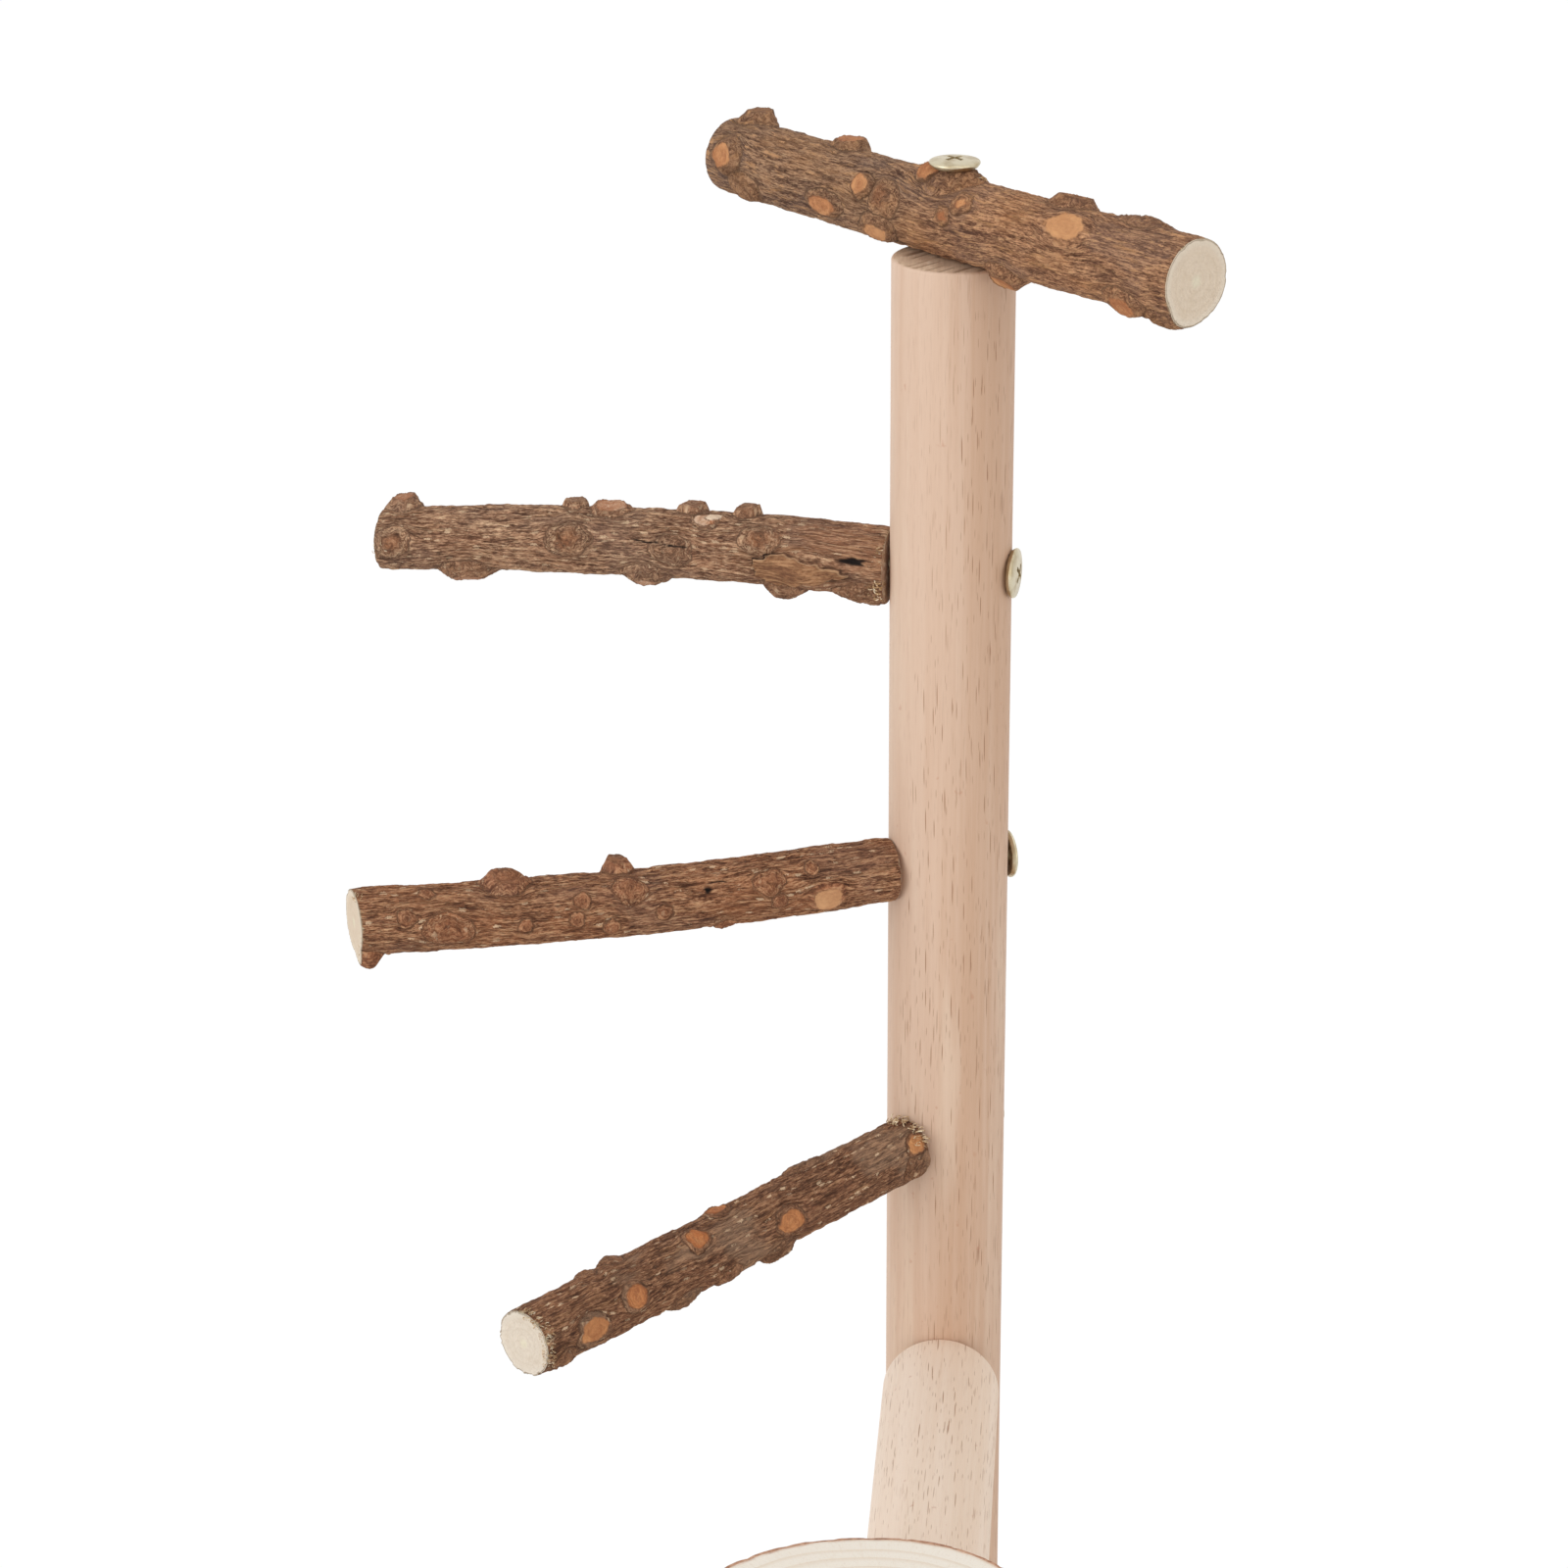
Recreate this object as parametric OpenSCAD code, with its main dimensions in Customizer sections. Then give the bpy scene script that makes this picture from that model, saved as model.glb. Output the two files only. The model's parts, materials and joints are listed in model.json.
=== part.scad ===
// A tabletop bird stand: a round beech post on a log-slice base, with a cross perch on top,
// three side perches of knobby branch wood, and a log-slice platform on a beech arm.
// Every piece of branch wood is held by one large-headed screw and can be turned on it.
// +Z is up, the arm points along -Y, and the origin lies under the post on the base's underside.

/* [Post] */
// Diameter of the round post
post_d = 35; // [30:1:40]
// Length of the post
post_len = 480; // [450:5:560]
// Eased edge at both ends of the post
post_ease = 0.8; // [0.4:0.1:1.6]

/* [Base] */
// Mean diameter of the log slice that the post stands on
base_d = 250; // [220:5:300]
// Thickness of the base slice
base_t = 22; // [18:1:30]
// How far the middle of the base lies in front of the post
base_forward = 42; // [30:1:60]
// How far the middle of the base lies beside the post, towards the side perches
base_aside = 24; // [10:1:40]
// Distance of each base screw from the middle of the post
base_screw_off = 9; // [8:0.5:11]
// How far the base screws reach into the post
base_screw_bite = 40; // [25:1:50]

/* [Side perches] */
// Depth of the upper perch's screw below the top of the post
upper_drop = 91.5; // [80:0.5:105]
// Depth of the middle perch's screw below the top of the post
middle_drop = 182.5; // [165:0.5:195]
// Depth of the lower perch's screw below the top of the post
lower_drop = 269; // [255:0.5:285]
// Direction of the upper perch, seen from above
upper_turn = 168; // [150:1:185]
// Direction of the middle perch, seen from above
middle_turn = 203; // [186:0.5:215]
// Direction of the lower perch, seen from above
lower_turn = 232; // [217:0.5:245]
// Length of the upper perch
upper_len = 155; // [120:1:180]
// Length of the middle perch
middle_len = 161; // [120:1:180]
// Length of the lower perch
lower_len = 161; // [120:1:180]
// Diameter of the upper perch at the post
upper_root_d = 20; // [16:0.2:24]
// Diameter of the upper perch at its free end
upper_tip_d = 18.2; // [14:0.2:24]
// Diameter of the middle perch at the post
middle_root_d = 18.4; // [15:0.2:24]
// Diameter of the middle perch at its free end
middle_tip_d = 18.6; // [14:0.2:24]
// Diameter of the lower perch at the post
lower_root_d = 18; // [15:0.2:24]
// Diameter of the lower perch at its free end
lower_tip_d = 19; // [14:0.2:24]
// Height gained by the upper perch from root to tip, negative where it droops
upper_rise = -6.5; // [-12:0.5:6]
// Upward bow of the upper perch at half length
upper_bow = 3.3; // [-4:0.1:4]
// Height gained by the middle perch from root to tip
middle_rise = 6.3; // [-6:0.1:8]
// Upward bow of the middle perch at half length
middle_bow = -1.7; // [-4:0.1:4]
// Height gained by the lower perch from root to tip
lower_rise = -1; // [-10:0.5:8]
// Upward bow of the lower perch at half length
lower_bow = -1.5; // [-4:0.1:4]
// How far each side perch's screw bites into its end grain
perch_screw_bite = 26; // [18:1:34]

/* [Top perch] */
// Direction of the top perch's rear half, seen from above
top_turn = 135.5; // [120:0.5:150]
// Length of the top perch
top_len = 187.5; // [150:1:220]
// Reach of the top perch from its screw to its front end
top_front_reach = 92; // [70:1:100]
// Diameter of the top perch at its front end
top_front_d = 23.4; // [20:0.2:26]
// Diameter of the top perch at its rear end
top_rear_d = 21.4; // [18:0.2:26]
// Depth of the flat filed for the screw head on the top perch
top_seat_depth = 0.5; // [0.3:0.1:1]
// How far the top perch's screw bites into the post
top_screw_bite = 32; // [20:1:40]

/* [Arm and platform] */
// Diameter of the round arm
arm_d = 35; // [28:1:40]
// Length of the arm
arm_len = 222; // [210:1:240]
// Depth of the arm's axis below the top of the post
arm_drop = 348.5; // [330:0.5:370]
// Eased edge at both ends of the arm
arm_ease = 0.8; // [0.4:0.1:1.6]
// How far the arm's screw bites into the arm
arm_screw_bite = 38; // [25:1:50]
// Mean diameter of the log-slice platform
platform_d = 109; // [90:1:120]
// Thickness of the platform slice
platform_t = 12; // [9:0.5:16]
// Distance of the platform's screw from the arm's free end
platform_end_off = 30.55; // [24:0.05:40]
// How far the middle of the slice lies beside its screw
platform_aside = 11.8; // [4:0.2:16]
// How far the platform's screw bites into the arm
platform_screw_bite = 26; // [18:1:30]

/* [Screws] */
// Diameter of the large flat screw heads
head_d = 14.4; // [11:0.2:16]
// Height of a screw head
head_t = 2.4; // [1.8:0.1:3.2]
// Rounding of a screw head's rim
head_rim = 0.7; // [0.4:0.05:0.9]
// Diameter of a screw's shank
screw_d = 5; // [4:0.1:5.5]
// Length of a screw's point
screw_point = 4; // [2:0.5:6]
// Span of the cross recess in a screw head
recess_span = 6.2; // [5:0.1:7]
// Width of the cross recess
recess_w = 1.3; // [0.9:0.1:1.8]
// Depth of the cross recess
recess_depth = 1.6; // [1:0.1:1.7]
// Distance from the base's underside to the sunk heads of the base screws
base_head_sink = 1; // [0.5:0.1:2]
// Width left free around a sunk screw head
sink_room = 0.4; // [0.2:0.1:0.8]

/* [Fits] */
// Clearance all round a screw in its hole
hole_fit = 0.05; // [0.02:0.01:0.1]
// Gap between a piece that can be turned and what it rests against
turn_gap = 0.3; // [0.2:0.05:0.4]
// Gap between a round piece and a flat one that stay together
seat_gap = 0.05; // [0.02:0.01:0.1]
// Extra depth of a hole past a screw's point
hole_spare = 1.5; // [0.5:0.5:3]

/* [Hidden] */
$fn = 96;

beech = "#dcbb9b";
pale_beech = "#e3cdb4";
bark = "#7a5a44";
dark_bark = "#66503c";
slice_wood = "#e9dcc4";
plated_steel = "#c9bf9c";

// What a cutting solid reaches past the face that it opens
cut_over = 1;

// Heights, all from the base's underside
post_top = base_t + post_len;
arm_z = post_top - arm_drop;
platform_z = arm_z + arm_d / 2 + turn_gap;

// Where the arm, the platform's screw and the side perches start, and the lengths of the arm's
// screw and the side perches' screws from under the head to the point
arm_start = post_d / 2 + seat_gap;
platform_reach = arm_start + arm_len - platform_end_off;
perch_start = post_d / 2 + turn_gap;
arm_screw_len = post_d + 2 * seat_gap + arm_screw_bite;
perch_screw_len = post_d + 2 * turn_gap + perch_screw_bite;

// Perch surfaces: sides around, and the wanted distance between rings
perch_sides = 26;
perch_ring_gap = 3.4;

// Outlines of the two log slices: [lobes, phase in degrees, height as a share of the radius]
platform_lobe_shares = [[2, 40, 0.012], [3, 100, 0.010], [5, 20, 0.006], [9, 70, 0.004]];
base_lobe_shares = [[2, 150, 0.012], [3, 10, 0.008], [5, 80, 0.006], [9, 30, 0.004]];
platform_steps = 72;
base_steps = 96;

// Knots of sawn-off thorns: [station along the perch from root to tip, angle from the top
// towards the front, height, half length, half width, flat top], the last four as shares:
// height, half length and half width of the perch's radius, flat top of the knot's width
top_knot_shares = [
    [0.490,   0, 0.31, 1.10, 0.85, 0.60],
    [0.955, -20, 0.40, 0.70, 0.60, 0.40],
    [0.950,  80, 0.22, 0.75, 0.60, 0.60],
    [0.900, 122, 0.20, 0.60, 0.55, 0.50],
    [0.735, -20, 0.30, 0.75, 0.55, 0.50],
    [0.715, 108, 0.16, 0.95, 0.50, 0.60],
    [0.610,  62, 0.24, 0.90, 0.65, 0.35],
    [0.605, 128, 0.15, 0.60, 0.50, 0.50],
    [0.350, 158, 0.28, 0.62, 0.60, 0.50],
    [0.262, -20, 0.24, 0.85, 0.60, 0.45],
    [0.215,  45, 0.12, 1.10, 0.65, 0.60],
    [0.118, -20, 0.14, 0.85, 0.55, 0.65],
    [0.090, 134, 0.20, 0.60, 0.50, 0.50],
    [0.030, 160, 0.24, 0.85, 0.60, 0.50],
    [0.045, -75, 0.30, 0.50, 0.50, 0.30]
];
upper_knot_shares = [
    [0.962, -18, 0.42, 0.75, 0.60, 0.40],
    [0.962,  79, 0.14, 0.70, 0.60, 0.50],
    [0.824, 155, 0.32, 1.10, 0.60, 0.50],
    [0.624, -18, 0.24, 0.60, 0.50, 0.50],
    [0.546, -12, 0.18, 0.80, 0.55, 0.60],
    [0.610,  64, 0.22, 0.85, 0.60, 0.30],
    [0.387, -18, 0.24, 0.75, 0.50, 0.70],
    [0.282, -18, 0.26, 0.80, 0.50, 0.60],
    [0.226,  44, 0.20, 0.80, 0.60, 0.35],
    [0.450, 145, 0.30, 0.95, 0.60, 0.40],
    [0.393,  84, 0.14, 0.70, 0.50, 0.40],
    [0.150, 100, 0.18, 1.60, 0.60, 0.60],
    [0.196, 158, 0.36, 0.75, 0.60, 0.40],
    [0.030, 158, 0.24, 1.20, 0.80, 0.60]
];
middle_knot_shares = [
    [0.737, -20, 0.34, 0.95, 0.60, 0.45],
    [0.514, -22, 0.46, 0.70, 0.50, 0.40],
    [0.510,  42, 0.20, 0.65, 0.60, 0.40],
    [0.843,  91, 0.16, 1.00, 0.70, 0.50],
    [0.920,  66, 0.12, 0.50, 0.45, 0.40],
    [0.253,  59, 0.20, 0.75, 0.60, 0.40],
    [0.150, 108, 0.20, 1.00, 0.70, 0.55],
    [0.160,  46, 0.14, 0.60, 0.50, 0.40],
    [0.330, 156, 0.24, 0.60, 0.50, 0.30],
    [0.550, 111, 0.12, 0.50, 0.40, 0.40],
    [0.985, 156, 0.46, 0.60, 0.50, 0.30]
];
lower_knot_shares = [
    [0.886,  86, 0.16, 0.85, 0.80, 0.60],
    [0.774,  61, 0.15, 0.75, 0.70, 0.60],
    [0.596,  16, 0.16, 0.70, 0.65, 0.60],
    [0.487, -34, 0.14, 0.70, 0.60, 0.50],
    [0.373,  65, 0.16, 0.85, 0.75, 0.60],
    [0.060,  30, 0.14, 0.70, 0.60, 0.60],
    [0.817, -31, 0.18, 0.55, 0.50, 0.40],
    [0.750, -34, 0.20, 0.75, 0.55, 0.50],
    [0.255, -34, 0.16, 1.10, 0.60, 0.50],
    [0.385, 143, 0.28, 0.95, 0.60, 0.45],
    [0.520, 132, 0.18, 0.70, 0.60, 0.45],
    [0.630, 143, 0.24, 0.90, 0.60, 0.45],
    [0.955, 120, 0.20, 0.60, 0.50, 0.40],
    [0.030, 100, 0.26, 0.90, 0.80, 0.50]
];

// Each perch: [length, diameter at the root, diameter at the tip, rise, bow, knots, side bow]
top_side_bow = 1.2;
upper_side_bow = 2;
middle_side_bow = 1.5;
lower_side_bow = -1.5;
top_spec = [top_len, top_front_d, top_rear_d, 0, 0, top_knot_shares, top_side_bow];
upper_spec = [upper_len, upper_root_d, upper_tip_d, upper_rise, upper_bow,
              upper_knot_shares, upper_side_bow];
middle_spec = [middle_len, middle_root_d, middle_tip_d, middle_rise, middle_bow,
               middle_knot_shares, middle_side_bow];
lower_spec = [lower_len, lower_root_d, lower_tip_d, lower_rise, lower_bow,
              lower_knot_shares, lower_side_bow];

// The plain radius of a perch at a station from 0 at the root to 1 at the tip
function plain_radius(spec, s) = (spec[1] + (spec[2] - spec[1]) * s) / 2;

// Turn from one angle to another, between -180 and 180 degrees
function turn_between(a, b) = ((a - b + 540) % 360) - 180;

// Height of one knot at a place, as a share of the plain radius: a cone with its top sawn flat
function knot_height(spec, knot, s, a) =
    let (r = plain_radius(spec, knot[0]),
         along = (s - knot[0]) * spec[0] / (r * knot[3]),
         around = turn_between(a, knot[1]) * PI / 180 / knot[4],
         slope = (1 - norm([along, around])) / (1 - knot[5]))
    knot[2] * max(0, min(1, slope));

function perch_radius(spec, s, a) =
    plain_radius(spec, s) * (1 + max([0, for (knot = spec[5]) knot_height(spec, knot, s, a)]));

// Middle of the branch at a station, with the root at zero
function perch_middle(spec, s) =
    [spec[0] * s, spec[6] * sin(180 * s), spec[3] * s + spec[4] * sin(180 * s)];

function perch_point(spec, s, a) =
    perch_middle(spec, s) + perch_radius(spec, s, a) * [0, sin(a), cos(a)];

// A log slice's outline at an angle, with the lobes given
function slice_point(d, lobes, a) =
    let (swell = [for (lobe = lobes) lobe[2] * cos(lobe[0] * a + lobe[1])],
         r = d / 2 * (1 + swell * [for (lobe = lobes) 1]))
    [r * cos(a), r * sin(a)];

// The branch wood itself: rings of points along a gently bent middle line, square at both ends
module branch(spec) {
    rings = ceil(spec[0] / perch_ring_gap);
    points = [for (i = [0 : rings], j = [0 : perch_sides - 1])
        perch_point(spec, i / rings, j * 360 / perch_sides)];
    walls = [for (i = [0 : rings - 1], j = [0 : perch_sides - 1])
        let (a = i * perch_sides + j, b = i * perch_sides + (j + 1) % perch_sides)
        each [[a, a + perch_sides, b], [b, a + perch_sides, b + perch_sides]]];
    root_end = [for (j = [0 : perch_sides - 1]) j];
    tip_end = [for (j = [perch_sides - 1 : -1 : 0]) rings * perch_sides + j];
    polyhedron(points = points, faces = concat(walls, [root_end, tip_end]));
}

// A screw with a large domed flat head; its underside lies at zero and the point looks down
module screw(shank_len) {
    rim_x = head_d / 2 - head_rim;
    rim_turns = [for (a = [-90 : 30 : 60]) [rim_x + head_rim * cos(a), head_rim * (1 + sin(a))]];
    dome_foot = rim_turns[len(rim_turns) - 1];
    dome_steps = 5;
    dome = [for (i = [1 : dome_steps])
        let (s = 1 - i / dome_steps)
        [dome_foot[0] * s, dome_foot[1] + (head_t - dome_foot[1]) * (1 - s * s)]];
    profile = concat([[0, -shank_len], [screw_d / 2, screw_point - shank_len], [screw_d / 2, 0]],
                     rim_turns, dome);
    difference() {
        rotate_extrude() polygon(profile);
        for (turn = [45, 135])
            rotate([0, 0, turn])
                translate([-recess_span / 2, -recess_w / 2, head_t - recess_depth])
                    cube([recess_span, recess_w, recess_depth + cut_over]);
    }
}

// A hole for a screw, from zero downwards, open at the top
module screw_hole(depth) {
    translate([0, 0, -depth]) cylinder(d = screw_d + 2 * hole_fit, h = depth + cut_over);
}

// A round dowel from zero up, with eased edges
module dowel(d, length, ease) {
    rotate_extrude()
        polygon([[0, 0], [d / 2 - ease, 0], [d / 2, ease], [d / 2, length - ease],
                 [d / 2 - ease, length], [0, length]]);
}

// Places a side perch's own frame on the post: x runs out along its screw
module on_post(turn, drop) {
    translate([0, 0, post_top - drop]) rotate([0, 0, turn]) children();
}

module side_perch(spec, turn, drop) {
    on_post(turn, drop)
        difference() {
            translate([perch_start, 0, 0]) branch(spec);
            translate([perch_start, 0, 0]) rotate([0, -90, 0])
                screw_hole(perch_screw_bite + hole_spare);
        }
}

// The screw that passes through the post from behind and into a side perch's end
module side_screw(turn, drop) {
    on_post(turn, drop)
        translate([-perch_start, 0, 0]) rotate([0, -90, 0]) screw(perch_screw_len);
}

module base_screw_places() {
    for (side = [-1, 1]) translate([side * base_screw_off, 0, 0]) children();
}

module base() {
    color(slice_wood)
        difference() {
            translate([-base_aside, -base_forward, 0])
                linear_extrude(base_t)
                    polygon([for (i = [0 : base_steps - 1])
                        slice_point(base_d, base_lobe_shares, i * 360 / base_steps)]);
            base_screw_places() {
                translate([0, 0, base_t]) screw_hole(base_t + cut_over);
                translate([0, 0, -cut_over])
                    cylinder(d = head_d + 2 * sink_room, h = base_head_sink + head_t + cut_over);
            }
        }
}

module base_screws() {
    color(plated_steel)
        base_screw_places()
            translate([0, 0, base_head_sink + head_t]) rotate([180, 0, 0])
                screw(base_t - base_head_sink - head_t + base_screw_bite);
}

module post() {
    color(beech)
        difference() {
            translate([0, 0, base_t]) dowel(post_d, post_len, post_ease);
            for (place = [[upper_turn, upper_drop], [middle_turn, middle_drop],
                          [lower_turn, lower_drop], [-90, arm_drop]])
                on_post(place[0], place[1])
                    translate([post_d / 2, 0, 0]) rotate([0, 90, 0])
                        screw_hole(post_d + cut_over);
            translate([0, 0, post_top]) screw_hole(top_screw_bite + hole_spare);
            base_screw_places() translate([0, 0, base_t]) rotate([180, 0, 0])
                screw_hole(base_screw_bite + hole_spare);
        }
}

// The top perch lies on the post with its crossing over the post's middle
top_cross = top_front_reach / top_len;
top_axis_z = post_top + turn_gap + plain_radius(top_spec, top_cross);
top_seat_z = top_axis_z + perch_radius(top_spec, top_cross, 0) - top_seat_depth;

module top_perch() {
    color(bark)
        difference() {
            translate([0, 0, top_axis_z]) rotate([0, 0, top_turn])
                translate(-[top_front_reach, top_side_bow * sin(180 * top_cross), 0])
                    branch(top_spec);
            translate([0, 0, top_seat_z]) screw_hole(top_seat_z - post_top + cut_over);
            translate([0, 0, top_seat_z])
                cylinder(d = head_d + 2 * sink_room, h = head_d);
        }
}

module top_perch_screw() {
    color(plated_steel)
        translate([0, 0, top_seat_z + turn_gap])
            screw(top_seat_z + turn_gap - post_top + top_screw_bite);
}

module upper_perch() { color(bark) side_perch(upper_spec, upper_turn, upper_drop); }

module upper_perch_screw() { color(plated_steel) side_screw(upper_turn, upper_drop); }

module middle_perch() { color(bark) side_perch(middle_spec, middle_turn, middle_drop); }

module middle_perch_screw() { color(plated_steel) side_screw(middle_turn, middle_drop); }

module lower_perch() { color(dark_bark) side_perch(lower_spec, lower_turn, lower_drop); }

module lower_perch_screw() { color(plated_steel) side_screw(lower_turn, lower_drop); }

// The arm butts against the post's front with its flat end
module platform_arm() {
    color(pale_beech)
        difference() {
            translate([0, -arm_start, arm_z]) rotate([90, 0, 0]) dowel(arm_d, arm_len, arm_ease);
            translate([0, -arm_start, arm_z]) rotate([-90, 0, 0])
                screw_hole(arm_screw_bite + hole_spare);
            translate([0, -platform_reach, arm_z + arm_d / 2])
                screw_hole(platform_screw_bite + hole_spare);
        }
}

module platform_arm_screw() {
    color(plated_steel)
        translate([0, arm_start, arm_z]) rotate([-90, 0, 0]) screw(arm_screw_len);
}

module platform() {
    color(slice_wood)
        difference() {
            translate([-platform_aside, -platform_reach, platform_z])
                linear_extrude(platform_t)
                    polygon([for (i = [0 : platform_steps - 1])
                        slice_point(platform_d, platform_lobe_shares,
                                    i * 360 / platform_steps)]);
            translate([0, -platform_reach, platform_z + platform_t])
                screw_hole(platform_t + cut_over);
        }
}

module platform_screw() {
    color(plated_steel)
        translate([0, -platform_reach, platform_z + platform_t + turn_gap])
            screw(platform_t + 2 * turn_gap + platform_screw_bite);
}

base();
base_screws();
post();
top_perch();
top_perch_screw();
upper_perch();
upper_perch_screw();
middle_perch();
middle_perch_screw();
lower_perch();
lower_perch_screw();
platform_arm();
platform_arm_screw();
platform();
platform_screw();
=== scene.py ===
import json
import math

import bmesh
import bpy
import numpy as np
from mathutils import Matrix, Vector


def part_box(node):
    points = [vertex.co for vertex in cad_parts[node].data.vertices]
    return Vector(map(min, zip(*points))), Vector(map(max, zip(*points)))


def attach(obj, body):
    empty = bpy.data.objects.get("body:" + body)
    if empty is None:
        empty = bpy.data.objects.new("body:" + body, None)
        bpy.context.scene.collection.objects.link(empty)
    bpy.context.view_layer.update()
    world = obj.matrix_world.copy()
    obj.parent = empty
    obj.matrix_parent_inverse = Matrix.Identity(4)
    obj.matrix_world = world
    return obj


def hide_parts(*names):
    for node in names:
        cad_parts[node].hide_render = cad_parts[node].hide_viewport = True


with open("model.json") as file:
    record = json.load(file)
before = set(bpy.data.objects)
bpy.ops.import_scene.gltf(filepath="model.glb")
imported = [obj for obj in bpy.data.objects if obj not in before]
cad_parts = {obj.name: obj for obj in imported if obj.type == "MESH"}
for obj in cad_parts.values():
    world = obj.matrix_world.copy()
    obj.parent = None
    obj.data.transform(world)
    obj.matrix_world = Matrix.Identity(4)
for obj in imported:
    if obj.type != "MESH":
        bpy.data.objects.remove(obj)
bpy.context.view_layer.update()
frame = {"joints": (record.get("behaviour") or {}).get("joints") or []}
joints = {joint["name"]: joint for joint in frame["joints"]}
scene = bpy.context.scene
scene.view_settings.view_transform = "Standard"
mm = 0.001

# The view: the camera stands 1.3 m in front of the post, a little to its right and well above
# its top, and looks down along the arm.
lens_mm = 108.43
camera_place = (0.0441, -1.2795, 0.8502)
camera_heading, camera_tilt, camera_roll = (math.radians(turn) for turn in (4.122, 21.585, -0.237))
camera = bpy.data.objects.new("camera", bpy.data.cameras.new("camera"))
camera.data.lens = lens_mm
scene.collection.objects.link(camera)
camera.matrix_world = (
    Matrix.Translation(camera_place)
    @ Matrix.Rotation(camera_heading, 4, "Z")
    @ Matrix.Rotation(math.pi / 2 - camera_tilt, 4, "X")
    @ Matrix.Rotation(camera_roll, 4, "Z")
)
scene.camera = camera


# The base: a thick slice sawn across a log, sanded on both faces, with its thin reddish bark
# left on round the rim. Two screws with sunk heads hold it up against the post's lower end.
base_d = 250 * mm
base_middle = Vector((-24, -42)) * mm
base_pith = Vector((-11, -51)) * mm
base_lobe_shares = [(2, 150, 0.012), (3, 10, 0.008), (5, 80, 0.006), (9, 30, 0.004)]
base_checks = [(205, 0.30, 1.1), (41, 0.08, 0.52), (318, 0.62, 1.1), (120, 0.40, 0.74)]
base_growth_rings = 33
bark_t = 1.7 * mm
rim_relief = 1 * mm
rim_step = 0.7 * mm
plate_groove = 0.5 * mm
ridge_h = 0.3 * mm
chip_depth = 0.6 * mm
slice_ease = 0.9 * mm
check_w = 0.7 * mm
check_depth = 1.6 * mm
check_wander = 0.45
face_map_r = 0.245
screw_hole_r = 2.55 * mm
screw_hole_spare = 1.5 * mm
bore_over = 1 * mm
base_screw_off = 9 * mm
sunk_head_r = 7.6 * mm
sunk_head_depth = 3.4 * mm
first_end, wall_zone, last_end = 0, 1, 2
shuffle = np.random.default_rng(11).permutation(256)
slopes = np.random.default_rng(12).normal(size=(256, 3))
slopes /= np.linalg.norm(slopes, axis=1, keepdims=True)


def noise(points, lump, seed=0, unit=mm):
    """Smooth noise from about -1 to 1 at each point, with lumps of that size along each axis.

    The same points and seed give the same noise each time. lump is in millimetres unless unit
    says otherwise.
    """
    at = np.asarray(points) / (np.array(lump) * unit) + seed * 17.31
    cell = np.floor(at).astype(int)
    part = at - cell
    ease = part**3 * (part * (part * 6 - 15) + 10)
    total = 0
    for corner in np.ndindex(2, 2, 2):
        key = shuffle[(cell[..., 0] + corner[0]) & 255]
        key = shuffle[(key + cell[..., 1] + corner[1]) & 255]
        key = shuffle[(key + cell[..., 2] + corner[2]) & 255]
        weight = np.prod(np.where(corner, ease, 1 - ease), axis=-1)
        total = total + weight * (slopes[key] * (part - corner)).sum(-1)
    return total * 1.6


def smooth_step(values, low, high):
    """0 below low and 1 above high, with an eased slope between them."""
    share = np.clip((values - low) / (high - low), 0, 1)
    return share * share * (3 - 2 * share)


def spots(x, y, z):
    """Points from three lists, or numbers, of coordinates."""
    return np.stack(np.broadcast_arrays(x, y, z), -1)


def turn_from(turns, angle):
    """How far each turn is from an angle, from -pi to pi."""
    return (turns - angle + np.pi) % (2 * np.pi) - np.pi


def face_to_face(low, high, ease, shares, step, corner):
    """The rows of a round piece, from one face over its eased wall to the other.

    A row has its share of the radius, height, zone, and how far the easing takes it in.
    """
    bends = [(ease * (1 - math.cos(a)), ease * (1 - math.sin(a))) for a in np.radians(corner)]
    rows = [(share, low, first_end, ease) for share in shares]
    rows += [(1, low + rise, wall_zone, inset) for rise, inset in bends]
    rows += [(1, height, wall_zone, 0)
             for height in np.linspace(low + ease, high - ease, round((high - low) / step))]
    rows += [(1, high - rise, wall_zone, inset) for rise, inset in bends[::-1]]
    rows += [(share, high, last_end, ease) for share in shares[::-1]]
    return (np.array(column)[:, None] for column in zip(*rows))


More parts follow.
